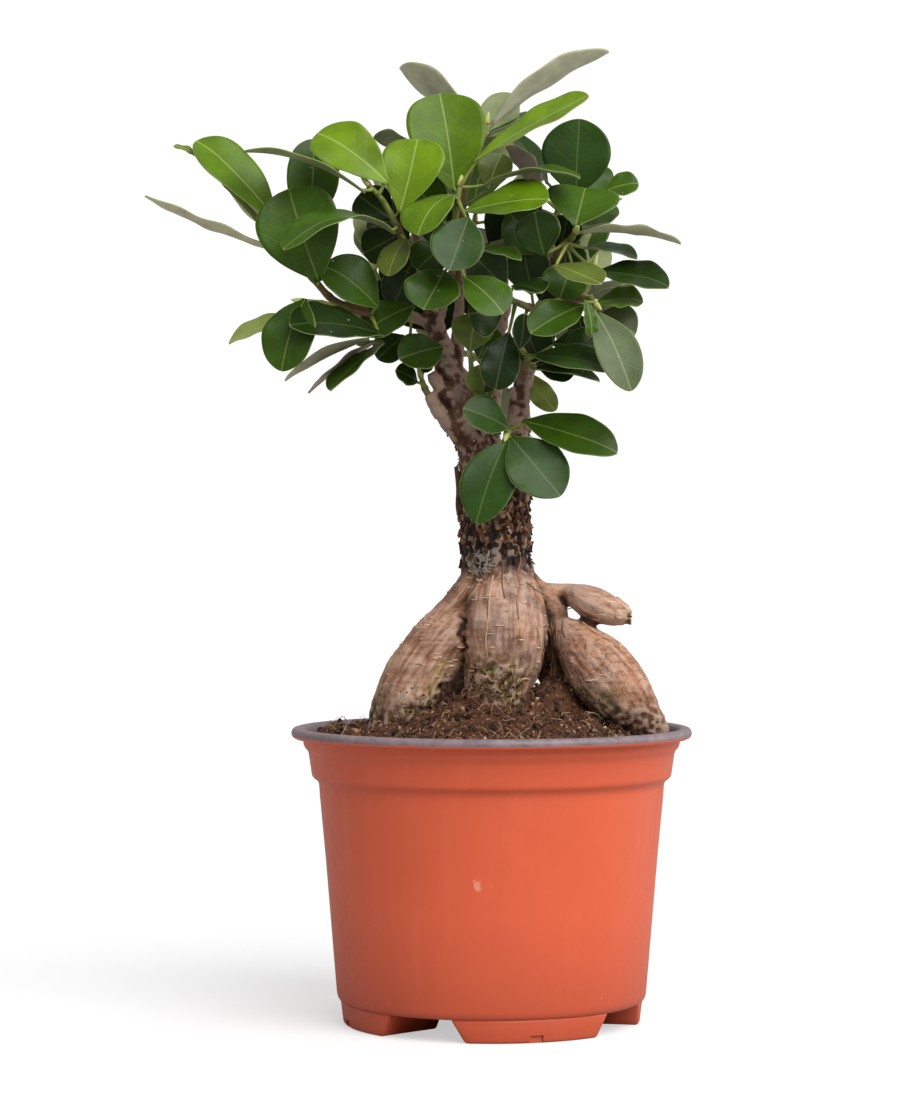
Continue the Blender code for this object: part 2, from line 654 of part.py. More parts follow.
            ((-3, 31, 199), (-9, 50, 203), 17, (0, 0.5, 0.9), 0.08),
            ((0, 31, 197), (10, 48, 196), 17, (0.1, 0.7, 0.7), 0.08),
            ((0, 28, 193), (2, 42, 180), 15, (0, 1, 0.4), 0.08),
        ),
    ),
    "shoot_left_back": (
        ((-20.4, 2, 226, 0.9), (-22, 8, 233, 1.1), (-24, 13, 240, 1.0), (-25, 15, 246, 0.7)),
        (
            ((-25.5, 18, 248), (-28, 28, 264), 18, (-0.1, 0.9, 0.5), 0.06),
            ((-28, 19, 244), (-39, 40, 245), 18, (-0.2, 0.3, 1), 0.08),
            ((-22, 18, 241), (-13, 38, 245), 17, (0.1, 0.5, 0.9), 0.08),
            ((-25, 16, 236), (-34, 34, 227), 17, (-0.3, 0.6, 0.8), 0.08),
        ),
    ),
    "shoot_right_back": (
        ((17.7, 5, 225, 0.9), (22, 12, 233, 1.1), (26, 17, 239, 1.0), (28, 19, 244, 0.7)),
        (
            ((28, 21, 246), (30, 29, 262), 18, (0.2, 0.9, 0.5), 0.06),
            ((31, 20, 240), (41, 31, 236), 15, (0.2, 0.3, 1), 0.06),
            ((26, 21, 240), (20, 42, 245), 18, (0, 0.4, 1), 0.08),
            ((27, 15, 235), (38, 33, 229), 17, (0.3, 0.6, 0.8), 0.08),
        ),
    ),
    "shoot_right_behind": (
        ((16.2, 4.4, 216, 0.9), (22, 10, 217, 1.1), (28, 13, 218, 0.7)),
        (
            ((31, 13, 219), (44, 18, 219), 15, (0.2, 0.2, 1), 0.06),
            ((30, 15, 216), (40, 26, 208), 15, (0.4, 0.7, 0.6), 0.06),
            ((25, 14, 213), (27, 31, 203), 14, (0, 0.5, 0.9), 0.04),
        ),
    ),
    "shoot_middle_back": (
        ((-9, 4.6, 222, 0.9), (-6, 10, 233, 1.0), (-5, 14, 241, 0.7)),
        (
            ((-5, 13, 244), (-2, 31, 260), 18, (0, 0.2, 1), 0.08),
            ((-2, 15, 241), (15, 24, 250), 17, (-0.2, 0.4, 0.9), 0.08),
            ((-7, 17, 238), (-16, 36, 233), 17, (-0.2, 0.5, 0.9), 0.08),
            ((-1, 6, 234), (10, 22, 229), 16, (0.1, 0.5, 0.9), 0.08),
        ),
    ),
    "shoot_left_behind": (
        ((-15, 0.5, 203, 0.9), (-18, 8, 205, 1.1), (-20, 13, 208, 0.7)),
        (
            ((-23, 13, 209), (-36, 24, 215), 16, (-0.3, 0.4, 0.9), 0.08),
            ((-21, 20, 203), (-21, 39, 198), 14, (0, 0.4, 0.9), 0.03),
            ((-17, 15, 208), (-5, 34, 211), 16, (0.2, 0.5, 0.9), 0.08),
        ),
    ),
}

# (share of the length, share of the full width) of the blade between its base and its tip
BLADE_STATIONS = ((0.16, 0.42), (0.40, 0.82), (0.65, 1.0), (0.88, 0.66))
CUP = 0.16                 # how far the blade's edges rise, as a share of half its width


class Leaf:
    """One blade and its stalk, as rings of (left edge, upper middle, right edge, lower middle)."""

    def __init__(self, base, tip, width, faces, arch, stem):
        self.base = place(base)
        self.length = (place(tip) - self.base).length
        self.ahead = (place(tip) - self.base).normalized()
        faces = Vector(faces)
        self.up = (faces - self.ahead * faces.dot(self.ahead)).normalized()
        self.across = self.ahead.cross(self.up)
        self.half = width * MM / 2
        self.arch = arch
        self.root = min((point for point, _ in stem), key=self.reach)

    def reach(self, point):
        """How far a stalk from this point is, made longer where it would have to turn back on itself."""
        way = self.base - point
        return way.length * (2.5 - way.normalized().dot(self.ahead))

    def middle(self, share):
        rise = self.arch * self.length * 4 * share * (1 - share)
        return self.base + self.ahead * self.length * share + self.up * rise

    def ring(self, centre, half, thickness, cup=0.0, way=None):
        """Four points round the centre, square to the given way (the blade's own if none is given)."""
        up = self.up
        across = self.across
        if way:
            if abs(across.dot(way)) > abs(up.dot(way)):
                up = (up - way * up.dot(way)).normalized()
                across = way.cross(up)
            else:
                across = (across - way * across.dot(way)).normalized()
                up = across.cross(way)
        return (
            centre - across * half + up * cup * half,
            centre + up * thickness / 2,
            centre + across * half + up * cup * half,
            centre - up * thickness / 2,
        )

    def rings(self):
        """The stalk's two rings, then the blade's."""
        stalk_way = (self.base - self.root).normalized()
        half = PETIOLE_WIDTH * MM / 2
        found = [
            self.ring(self.root, half, PETIOLE_WIDTH * MM, way=stalk_way),
            self.ring(self.base, half, PETIOLE_WIDTH * MM, way=(stalk_way + self.ahead).normalized()),
        ]
        for share, width in BLADE_STATIONS:
            found.append(self.ring(self.middle(share), self.half * width, LEAF_THICKNESS * MM, CUP))
        return found

    def grow(self, shape):
        """Fills a bmesh with the closed leaf, from the stalk's flat end to the blade's tip."""
        rings = [[shape.verts.new(point) for point in ring] for ring in self.rings()]
        tip = shape.verts.new(self.middle(1.0))
        shape.faces.new(rings[0][::-1])
        for low, high in zip(rings, rings[1:]):
            for side in range(4):
                nxt = (side + 1) % 4
                shape.faces.new((low[side], low[nxt], high[nxt], high[side]))
        for side in range(4):
            shape.faces.new((rings[-1][side], rings[-1][(side + 1) % 4], tip))


leaf_finish = material("fig_leaf", (0.10, 0.24, 0.03), 0.38)
for name, (stem, leaves) in SHOOTS.items():
    run = along(stem, 3)
    stem_mesh = mesh_from(name, lambda shape, run=run: tube(shape, run, STEM_SIDES))
    shoot = add_object(name, stem_mesh, leaf_finish)
    for index, row in enumerate(leaves):
        leaf = Leaf(*row, run[2:])
        boolean(shoot, "UNION", helper(f"{name}_leaf_{index}", leaf.grow))
    boolean(shoot, "DIFFERENCE", wood_cutter)
    smooth(shoot.data, 60)
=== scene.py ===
"""A small potted fig bonsai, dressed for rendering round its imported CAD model.

Metres, +Z up, front at -Y. Tables are in millimetres from the pot's own axis, as the maker drew them.
"""

import math
import random

import bmesh
import bpy
import numpy as np
from mathutils import Matrix, Vector, noise
from mathutils.bvhtree import BVHTree
from mathutils.kdtree import KDTree


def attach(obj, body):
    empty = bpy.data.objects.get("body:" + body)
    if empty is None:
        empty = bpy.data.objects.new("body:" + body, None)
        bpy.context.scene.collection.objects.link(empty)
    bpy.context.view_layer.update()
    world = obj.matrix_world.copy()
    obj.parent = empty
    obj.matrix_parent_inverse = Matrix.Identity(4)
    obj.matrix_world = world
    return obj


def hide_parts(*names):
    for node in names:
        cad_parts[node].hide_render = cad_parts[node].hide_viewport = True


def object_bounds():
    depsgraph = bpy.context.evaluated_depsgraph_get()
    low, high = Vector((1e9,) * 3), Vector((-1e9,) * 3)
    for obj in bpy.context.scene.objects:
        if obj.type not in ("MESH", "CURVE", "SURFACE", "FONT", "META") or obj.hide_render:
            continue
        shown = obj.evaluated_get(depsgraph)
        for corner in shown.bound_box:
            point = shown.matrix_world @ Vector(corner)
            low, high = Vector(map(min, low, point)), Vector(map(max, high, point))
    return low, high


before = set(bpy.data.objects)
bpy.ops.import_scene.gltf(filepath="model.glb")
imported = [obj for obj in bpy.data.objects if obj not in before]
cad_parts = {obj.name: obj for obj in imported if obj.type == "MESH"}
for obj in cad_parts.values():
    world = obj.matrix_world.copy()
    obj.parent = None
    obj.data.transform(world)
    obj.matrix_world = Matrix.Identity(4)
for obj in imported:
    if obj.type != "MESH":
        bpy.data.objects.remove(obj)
cad_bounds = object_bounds()


# ---------------------------------------------------------------- camera, light and floor
# A product-table set: a long lens at the height of the neck, one large soft light high on the right,
# a weaker strip far to the right and a little behind, and a white sweep that the plant stands on.

MM = 0.001
POT_AXIS_X = 20.5 * MM   # the pot stands right of the middle of the plant's outline


def linear(text):
    """An sRGB hex colour as the linear colour that a shader takes."""
    values = [int(text[i : i + 2], 16) / 255 for i in (1, 3, 5)]
    return (*[v / 12.92 if v <= 0.04045 else ((v + 0.055) / 1.055) ** 2.4 for v in values], 1.0)


def live(source):
    """What to link from: a node stands for its first output in use."""
    if isinstance(source, bpy.types.Node):
        return next(socket for socket in source.outputs if socket.enabled)
    return source


def add_node(tree, kind, inputs=None, **settings):
    """Adds a node with its settings; each input is a value, or the node or socket that feeds it.

    Numbers count the node's own inputs: a MapRange takes its value, then the range it comes from and
    the range it goes to; a colour Mix takes its share at 0, the colour below at 6 and the one above at 7.
    """
    made = tree.nodes.new("ShaderNode" + kind)
    for name, value in settings.items():
        setattr(made, name, value)
    for key, value in (inputs or {}).items():
        value = live(value)
        if isinstance(value, bpy.types.NodeSocket):
            tree.links.new(value, made.inputs[key])
        else:
            made.inputs[key].default_value = value
    return made


def new_finish(name, **inputs):
    """A Principled material, its shader and its tree; inputs are the shader's uniform values."""
    made = bpy.data.materials.new(name)
    made.use_nodes = True
    shader = made.node_tree.nodes["Principled BSDF"]
    for key, value in inputs.items():
        shader.inputs[key.replace("_", " ")].default_value = value
    return made, shader, made.node_tree


def feed(tree, shader, **sources):
    """Links each source to the shader's socket of that name."""
    for name, source in sources.items():
        tree.links.new(live(source), shader.inputs[name.replace("_", " ")])


bpy.ops.object.select_all(action="DESELECT")
bpy.context.scene.view_settings.view_transform = "Standard"
VIEW_FROM = (11.35 * MM, -1.0, 0.150)
VIEW_DOWN = 0.576   # degrees
bpy.ops.object.camera_add(location=VIEW_FROM, rotation=(math.radians(90 - VIEW_DOWN), 0, 0))
camera = bpy.context.object
camera.data.sensor_fit = "VERTICAL"
camera.data.sensor_height = 36
camera.data.lens = 108
camera.data.clip_start = 0.05
bpy.context.scene.camera = camera

# the key: a wide soft source, high on the right and in front
bpy.ops.object.light_add(type="SUN", location=(1, -1, 1.2), rotation=(math.radians(46), 0, math.radians(33)))
key = bpy.context.object
key.data.energy = 3.4
key.data.angle = math.radians(50)

# a strip light far to the right, a little behind, that edges the pot and the leaves
bpy.ops.object.light_add(type="AREA", location=(1.3, 0.35, 0.45))
strip = bpy.context.object
strip.data.size = 0.8
strip.data.energy = 5.0
strip.rotation_euler = (Vector((0, 0, 0.12)) - strip.location).to_track_quat("-Z", "Y").to_euler()

world = bpy.data.worlds.new("studio_air")
bpy.context.scene.world = world
world.use_nodes = True
seen_direct = add_node(world.node_tree, "LightPath").outputs["Is Camera Ray"]
air = world.node_tree.nodes["Background"]
air.inputs["Color"].default_value = (1.0, 1.0, 1.0, 1.0)
AIR_LIGHT, AIR_SEEN = 0.50, 1.05
air_range = {"Value": seen_direct, "To Min": AIR_LIGHT, "To Max": AIR_SEEN}
world_strength = add_node(world.node_tree, "MapRange", air_range)
feed(world.node_tree, air, Strength=world_strength)

# The sweep is overexposed, so the camera sees it lighter than what it sends back to the plant.
sweep_finish, shader, tree = new_finish(
    "white_painted_sweep", Base_Color=linear("#AEAEAE"), Roughness=0.95, Specular_IOR_Level=0.0
)
seen_direct = add_node(tree, "LightPath").outputs["Is Camera Ray"]
overexposure = add_node(tree, "MapRange", {"Value": seen_direct, "To Min": 0.0, "To Max": 0.52})
shader.inputs["Emission Color"].default_value = (1.0, 1.0, 1.0, 1.0)
feed(tree, shader, Emission_Strength=overexposure)
bpy.ops.mesh.primitive_plane_add(size=14, location=(0, 0, 0))
sweep = bpy.context.object
sweep.name = "sweep"
sweep.data.materials.append(sweep_finish)


# ---------------------------------------------------------------- pot
# A 12 cm nursery pot, formed under vacuum from a two-layer polypropylene sheet: terracotta outside,
# dark grey inside. The grey layer shows on the rolled lip. Four pads under the floor let water out.

POT_STEPS = 144
# (radius, height): up the outside from the floor's corner, over the rolled lip
POT_OUTSIDE = (
    (43.4, 6.6), (44.8, 6.75), (45.6, 7.2), (46.1, 8.0), (46.4, 9.2), (47.4, 21.0), (49.8, 50.0),
    (51.5, 68.0), (51.7, 71.0), (51.85, 72.0), (52.3, 72.8), (53.3, 73.5), (53.8, 74.1), (54.0, 75.0),
    (54.8, 80.6), (55.1, 81.6), (55.9, 82.5), (56.3, 83.3), (56.5, 84.4), (56.9, 85.1), (57.7, 85.35),
    (58.9, 85.4), (59.6, 85.75), (59.95, 86.4), (60.0, 87.1), (59.8, 87.8), (59.3, 88.3), (58.6, 88.5),
    (57.4, 88.5), (56.7, 88.3),
)
# down the inside to the floor
POT_INSIDE = (
    (56.2, 87.8), (55.95, 86.8), (55.7, 84.6), (55.2, 83.2), (54.3, 82.3), (54.0, 80.8), (53.1, 75.2),
    (52.6, 74.4), (51.4, 73.5), (50.9, 72.2), (50.6, 68.0), (48.9, 50.0), (46.5, 21.0), (45.5, 9.4),
    (45.0, 8.2), (43.6, 7.5),
)
FOOT_TURN = -73.5
FOOT_SPANS = (54.0, 65.0)       # degrees, at the bottom and at the top
FOOT_ROUNDING = 0.9
FOOT_NOTCH = (4.0, 0.6, 2.3)    # wide, deep, tall
DRAIN_RADIUS, DRAINS_AT = 3.5, 34
GREY_FROM = 86.7                # the height on the lip where the grey layer begins


def place(point):
    """A point in millimetres from the pot's axis, as metres in the part's frame."""
    return Vector((point[0] * MM + POT_AXIS_X, point[1] * MM, point[2] * MM))


def only(piece):
    """Makes this piece the one that the next operators act on."""
    bpy.ops.object.select_all(action="DESELECT")
    piece.select_set(True)
    bpy.context.view_layer.objects.active = piece


def start_point(name, point):
    """A new object holding one vertex, which edit-mode extrusions can draw a line from."""
    bpy.ops.mesh.primitive_plane_add(size=MM, location=(0, 0, 0))
    piece = bpy.context.object
    piece.name = name
    piece.data.name = name
    bpy.ops.object.mode_set(mode="EDIT")
    bpy.ops.mesh.select_all(action="SELECT")
    bpy.ops.mesh.merge(type="CENTER")
    bpy.ops.transform.translate(value=place((point[0], 0, point[1])))
    return piece


def spun(name, profile, steps):
    """The closed shell turned from a profile of (radius, height) that starts and ends on the axis."""
    piece = start_point(name, profile[0])
    for before, after in zip(profile, profile[1:]):
        step = ((after[0] - before[0]) * MM, 0, (after[1] - before[1]) * MM)
        bpy.ops.mesh.extrude_region_move(TRANSFORM_OT_translate={"value": step})
    bpy.ops.mesh.select_all(action="SELECT")
    bpy.ops.mesh.spin(steps=steps, angle=2 * math.pi, center=place((0, 0, 0)), axis=(0, 0, 1))
    bpy.ops.mesh.select_all(action="SELECT")
    bpy.ops.mesh.remove_doubles(threshold=0.00002)
    bpy.ops.mesh.normals_make_consistent(inside=False)
    bpy.ops.object.mode_set(mode="OBJECT")
    return piece


def sector(name, turn, spans, radii_in, radii_out, heights, steps=10, rounding=0.0):
    """One sector of a ring, its spans and radii given at its bottom and at its top."""
    shape = bmesh.new()
    levels = []
    for span, r_in, r_out, z in zip(spans, radii_in, radii_out, heights):
        angles = [math.radians(turn - span / 2 + span * step / steps) for step in range(steps + 1)]
        ring = [shape.verts.new(place((r_out * math.cos(a), r_out * math.sin(a), z))) for a in angles]
        ring += [shape.verts.new(place((r_in * math.cos(a), r_in * math.sin(a), z))) for a in angles[::-1]]
        levels.append(ring)
    low, high = levels
    for i in range(len(low)):
        after = (i + 1) % len(low)
        shape.faces.new((low[i], low[after], high[after], high[i]))
    shape.faces.new(low[::-1])
    shape.faces.new(high)
    mesh = bpy.data.meshes.new(name)
    shape.to_mesh(mesh)
    shape.free()
    piece = bpy.data.objects.new(name, mesh)
    bpy.context.scene.collection.objects.link(piece)
    if rounding:
        bevel = piece.modifiers.new("rounded", "BEVEL")
        bevel.width = rounding * MM
        bevel.segments = 3
        bevel.limit_method = "ANGLE"
        bevel.angle_limit = math.radians(50)
        only(piece)
        bpy.ops.object.modifier_apply(modifier=bevel.name)
    return piece


def joined(pieces, name):
    bpy.ops.object.select_all(action="DESELECT")
    for piece in pieces:
        piece.select_set(True)
    bpy.context.view_layer.objects.active = pieces[0]
    if len(pieces) > 1:
        bpy.ops.object.join()
    bpy.context.object.name = name
    bpy.context.object.data.name = name
    return bpy.context.object


def combine(piece, operation, other):
    """Joins the other solid to the piece, or cuts it out, and removes the other."""
    step = piece.modifiers.new("combine", "BOOLEAN")
    step.operation = operation
    step.solver = "EXACT"
    step.object = other
    only(piece)
    bpy.ops.object.modifier_apply(modifier=step.name)
    bpy.data.objects.remove(other, do_unlink=True)


pot = spun("nursery_pot", ((0, 6.6), (20, 6.6)) + POT_OUTSIDE + POT_INSIDE + ((20, 7.5), (0, 7.5)), POT_STEPS)
feet_turns = [FOOT_TURN + 90 * step for step in range(4)]
pads = [
    sector(f"pad_{i}", turn, FOOT_SPANS, (22.2, 21.0), (44.4, 45.3), (0.0, 7.1), 16, FOOT_ROUNDING)
    for i, turn in enumerate(feet_turns)
]
combine(pot, "UNION", joined(pads, "pads"))
cuts = []
inner_spans = (FOOT_SPANS[0] - 3.4, FOOT_SPANS[1] - 3.0)
for i, turn in enumerate(feet_turns):
    cuts.append(sector(f"pad_room_{i}", turn, inner_spans, (23.3, 22.6), (43.4, 44.2), (0.9, 8.6)))
    notch = math.degrees(FOOT_NOTCH[0] / 44.4)
    edge = 44.4 - FOOT_NOTCH[1]
    cuts.append(sector(f"notch_{i}", turn, (notch, notch), (edge, edge), (47, 47), (-1.0, FOOT_NOTCH[2]), 3))
    drain = math.radians(turn + 45)
    middle = place((DRAINS_AT * math.cos(drain), DRAINS_AT * math.sin(drain), 7.0))
    bpy.ops.mesh.primitive_cylinder_add(vertices=32, radius=DRAIN_RADIUS * MM, depth=6 * MM, location=middle)
    cuts.append(bpy.context.object)
combine(pot, "DIFFERENCE", joined(cuts, "pot_cuts"))
only(pot)
bpy.ops.object.shade_smooth_by_angle(angle=math.radians(38))

# Terracotta polypropylene, vacuum formed: satin, faintly mottled where the sheet stretched, with
# handling scuffs and pale specks of dried compost.
terracotta, shader, tree = new_finish("polypropylene_terracotta_formed", IOR=1.49)
where = add_node(tree, "TexCoord").outputs["Object"]
mottle = add_node(tree, "TexNoise", {"Vector": where, "Scale": 45.0, "Detail": 4.0, "Roughness": 0.6})
grain = add_node(tree, "TexNoise", {"Vector": where, "Scale": 420.0, "Detail": 3.0, "Roughness": 0.65})
tall = add_node(tree, "Mapping", {"Vector": where, "Scale": (1.0, 1.0, 0.12)})
streaks = add_node(tree, "TexNoise", {"Vector": tall, "Scale": 160.0, "Detail": 3.0})
streak_share = add_node(tree, "MapRange", {0: streaks, 1: 0.52, 2: 0.72, 3: 0.0, 4: 0.16})
speck_cells = add_node(tree, "TexVoronoi", {"Vector": where, "Scale": 95.0, "Randomness": 1.0})
near_centre = add_node(tree, "MapRange", {0: speck_cells, 1: 0.03, 2: 0.07, 3: 1.0, 4: 0.0})
picked = add_node(tree, "SeparateColor", {0: speck_cells.outputs["Color"]})
rare = add_node(tree, "Math", {0: picked, 1: 0.94}, operation="GREATER_THAN")
specks = add_node(tree, "Math", {0: near_centre, 1: rare}, operation="MULTIPLY")
marks = [(mottle, "#D65C36"), (streak_share, "#DE7450"), (specks, "#E2A07E")]
# scuffs: rubbed spots at (x, z) with a half width in millimetres, broken up by the grain
for x, z, half in ((-4.6, 46.4, 3.6), (-1.4, 45.6, 2.2), (30.5, 37.5, 1.3), (-29.5, 60.5, 1.1), (22.0, 12.0, 1.2)):
    middle = (POT_AXIS_X + x * MM, -0.0505, z * MM)
    away = add_node(tree, "VectorMath", {0: where, 1: middle}, operation="DISTANCE")
    spot = add_node(tree, "MapRange", {0: away, 1: 0.0, 2: half * MM * 1.6, 3: 0.75, 4: 0.0})
    scratchy = add_node(tree, "Math", {0: spot, 1: grain}, operation="ADD")
    marks.append((add_node(tree, "MapRange", {0: scratchy, 1: 1.0, 2: 1.16, 3: 0.0, 4: 0.6}), "#E2A07E"))
tone = linear("#CB5230")
for share, colour in marks:
    tone = add_node(tree, "Mix", {0: share, 6: tone, 7: linear(colour)}, data_type="RGBA")
# painted shade: the wall's colour darkens towards its bottom, where less light reaches it
height = add_node(tree, "SeparateXYZ", {0: where}).outputs["Z"]
painted_foot_shade = add_node(tree, "MapRange", {0: height, 1: 0.004, 2: 0.036, 3: 0.76, 4: 1.0})
tone = add_node(tree, "Mix", {0: 1.0, 6: tone, 7: painted_foot_shade}, data_type="RGBA", blend_type="MULTIPLY")
rough = add_node(tree, "MapRange", {0: grain, 1: 0.3, 2: 0.7, 3: 0.40, 4: 0.52})
peel = add_node(tree, "Bump", {"Height": grain, "Distance": 0.00012, "Strength": 0.35})
feed(tree, shader, Base_Color=tone, Roughness=rough, Normal=peel)

# The sheet's dark grey inner layer: duller, slightly purple, mottled paler by a dust noise.
grey_layer, shader, tree = new_finish("polypropylene_grey_inner_layer", IOR=1.49)
where = add_node(tree, "TexCoord").outputs["Object"]
dust = add_node(tree, "TexNoise", {"Vector": where, "Scale": 260.0, "Detail": 5.0, "Roughness": 0.7})
dust_share = add_node(tree, "MapRange", {0: dust, 1: 0.38, 2: 0.68})
tone = add_node(tree, "Mix", {0: dust_share, 6: linear("#6C5D63"), 7: linear("#8C7A7D")}, data_type="RGBA")
rough = add_node(tree, "MapRange", {0: dust, 1: 0.3, 2: 0.7, 3: 0.42, 4: 0.6})
worn = add_node(tree, "Bump", {"Height": dust, "Distance": 0.0002, "Strength": 0.4})
feed(tree, shader, Base_Color=tone, Roughness=rough, Normal=worn)

pot.data.materials.clear()
pot.data.materials.append(terracotta)
pot.data.materials.append(grey_layer)
outline_r, outline_z = zip(*POT_OUTSIDE[:-2])
for face in pot.data.polygons:
    radius = math.hypot(face.center.x - POT_AXIS_X, face.center.y) / MM
    height = face.center.z / MM
    outside = np.interp(height, outline_z, outline_r)
    face.material_index = int(height > GREY_FROM or (height > 7.0 and radius < outside - 0.5))
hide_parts("pot")
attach(pot, "root")


# ---------------------------------------------------------------- soil
# Peat and coir potting mix, heaped between the roots: one crumbly plug that fills the pot, with loose
# crumbs, coir fibres and a few bits of perlite lying on it.

SOIL_SIDE = ((44.9, 8.2), (46.1, 21.0), (48.5, 50.0), (50.3, 68.5), (50.7, 72.4), (52.7, 74.4), (53.4, 81.0))
SOIL_TOP = ((53.9, 83.4), (50, 85.2), (44, 86.4), (36, 88.6), (27, 91.6), (17, 94.6), (7, 96.0), (0, 96.2))
SOIL_AROUND = 260
SOIL_RINGS = 84


def soil_height(x, y):
    """The soil's surface in millimetres: low at the wall, heaped between the roots."""
    radius = math.hypot(x, y)
    low = np.interp(-radius, [-r for r, _ in SOIL_TOP], [z for _, z in SOIL_TOP])
    inward = min(1.0, max(0.0, (53.9 - radius) / 4))
    heap = 9.5 * math.exp(-((x - 20) ** 2 + (y + 2) ** 2) / 80.0)
    heap += 4.0 * math.exp(-((x + 9) ** 2 + (y + 12) ** 2) / 60.0)
    ripple = 0.7 * math.sin(0.31 * x + 0.6) * math.cos(0.27 * y) + 0.5 * math.sin(0.53 * x - 0.41 * y)
    crumbs = 0.0
    for much, wide, level in ((1.3, 4.5, 1.7), (1.0, 1.9, 4.1), (0.6, 0.9, 9.3)):
        crumbs += much * noise.noise(Vector((x / wide, y / wide, level)))
    heaped_left = 2.1 * min(1.0, max(0.0, (-x - 34) / 14))
    return low + heaped_left + inward * (heap + ripple) + (0.35 + 0.65 * inward) * crumbs


SOIL_FLOOR = place((0, 0, SOIL_SIDE[0][1]))
bpy.ops.mesh.primitive_circle_add(
    vertices=SOIL_AROUND, radius=SOIL_SIDE[0][0] * MM, fill_type="NGON", location=SOIL_FLOOR
)
soil = bpy.context.object
soil.name = "soil_plug"
soil.data.name = "soil_plug"
bpy.ops.object.transform_apply(location=True, rotation=True, scale=True)
bpy.ops.object.mode_set(mode="EDIT")
shape = bmesh.from_edit_mesh(soil.data)
rings = [(r, z, False) for r, z in SOIL_SIDE[1:]]
rings += [(SOIL_TOP[0][0] * (1 - i / SOIL_RINGS), 0, True) for i in range(SOIL_RINGS)]
shape.faces.ensure_lookup_table()
lid = shape.faces[0]
if lid.normal.z > 0:
    bmesh.ops.reverse_faces(shape, faces=[lid])
edge = list(lid.edges)
for radius, height, crumbly in rings:
    grown = bmesh.ops.extrude_edge_only(shape, edges=edge)["geom"]
    edge = [g for g in grown if isinstance(g, bmesh.types.BMEdge)]
    for vert in [g for g in grown if isinstance(g, bmesh.types.BMVert)]:
        x = (vert.co.x - POT_AXIS_X) / MM
        y = vert.co.y / MM
        scale = radius / math.hypot(x, y)
        x, y = x * scale, y * scale
        vert.co = place((x, y, soil_height(x, y) if crumbly else height))
bmesh.ops.contextual_create(shape, geom=edge)
bmesh.ops.recalc_face_normals(shape, faces=shape.faces)
bmesh.update_edit_mesh(soil.data)
bpy.ops.object.mode_set(mode="OBJECT")
only(soil)
bpy.ops.object.shade_smooth_by_angle(angle=math.radians(60))

# Damp peat: nearly black in the hollows, red-brown where coir shows, matt, with a crumb of about 1 mm.
peat, shader, tree = new_finish("peat_and_coir_mix", Roughness=0.95, Specular_IOR_Level=0.25)
where = add_node(tree, "TexCoord").outputs["Object"]
lumps = add_node(tree, "TexNoise", {"Vector": where, "Scale": 260.0, "Detail": 6.0, "Roughness": 0.75})
grit = add_node(tree, "TexNoise", {"Vector": where, "Scale": 1100.0, "Detail": 4.0, "Roughness": 0.7})
fibre_way = add_node(tree, "Mapping", {"Vector": where, "Scale": (1.0, 0.16, 1.0), "Rotation": (0.0, 0.0, 0.7)})
threads = add_node(tree, "TexNoise", {"Vector": fibre_way, "Scale": 900.0, "Detail": 3.0})
dark_share = add_node(tree, "MapRange", {0: lumps, 1: 0.36, 2: 0.64})
grit_share = add_node(tree, "MapRange", {0: grit, 1: 0.50, 2: 0.74, 3: 0.0, 4: 0.8})
thread_share = add_node(tree, "MapRange", {0: threads, 1: 0.60, 2: 0.70, 3: 0.0, 4: 0.75})
tone = linear("#1E110A")
for share, colour in ((dark_share, "#5F3D2A"), (grit_share, "#80593C"), (thread_share, "#A87C56")):
    tone = add_node(tree, "Mix", {0: share, 6: tone, 7: linear(colour)}, data_type="RGBA")
bumps = add_node(tree, "Bump", {"Height": grit, "Distance": 0.0008, "Strength": 0.8})
feed(tree, shader, Base_Color=tone, Normal=bumps)
soil.data.materials.append(peat)
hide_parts("soil")
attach(soil, "root")


def tube_points(run, sides):
    """Rings of points round a run of (centre, radius)."""
    rings = []
    across = None
    for i, (centre, radius) in enumerate(run):
        ahead = (run[min(i + 1, len(run) - 1)][0] - run[max(i - 1, 0)][0]).normalized()
        across = ahead.orthogonal() if across is None else across
        across = (across - ahead * across.dot(ahead)).normalized()
        third = ahead.cross(across)
        ring = []
        for k in range(sides):
            turn = 2 * math.pi * k / sides
            ring.append(centre + (across * math.cos(turn) + third * math.sin(turn)) * radius)
        rings.append(ring)
    return rings


class Gathered:
    """Small closed shapes collected into one mesh, with a colour for each point."""

    def __init__(self):
        self.points = []
        self.faces = []
        self.tints = []

    def solid(self, points, faces, tint):
        first = len(self.points)
        self.points += [tuple(p) for p in points]
        self.faces += [tuple(first + i for i in face) for face in faces]
        self.tints += tint if isinstance(tint, list) else [tint] * len(points)

    def tube(self, run, sides, tint):
        """tint is one colour, or one for each ring of the run."""
        rings = tube_points(run, sides)
        faces = [tuple(range(sides))[::-1]]
        for low in range(0, sides * (len(rings) - 1), sides):
            for k in range(sides):
                nxt = (k + 1) % sides
                faces.append((low + k, low + nxt, low + sides + nxt, low + sides + k))
        last = sides * (len(rings) - 1)
        faces.append(tuple(range(last, last + sides)))
        colours = [t for t in tint for _ in range(sides)] if isinstance(tint, list) else tint
        self.solid([p for ring in rings for p in ring], faces, colours)

    def piece(self, name, finish):
        mesh = bpy.data.meshes.new(name)
        mesh.from_pydata(self.points, [], self.faces)
        mesh.materials.append(finish)
        tint = mesh.attributes.new("tint", "FLOAT_COLOR", "POINT")
        tint.data.foreach_set("color", [v for colour in self.tints for v in colour])
        mesh.shade_smooth()
        made = bpy.data.objects.new(name, mesh)
        bpy.context.scene.collection.objects.link(made)
        return made


def blended(a, b, share):
    return tuple(x + (y - x) * share for x, y in zip(a, b))


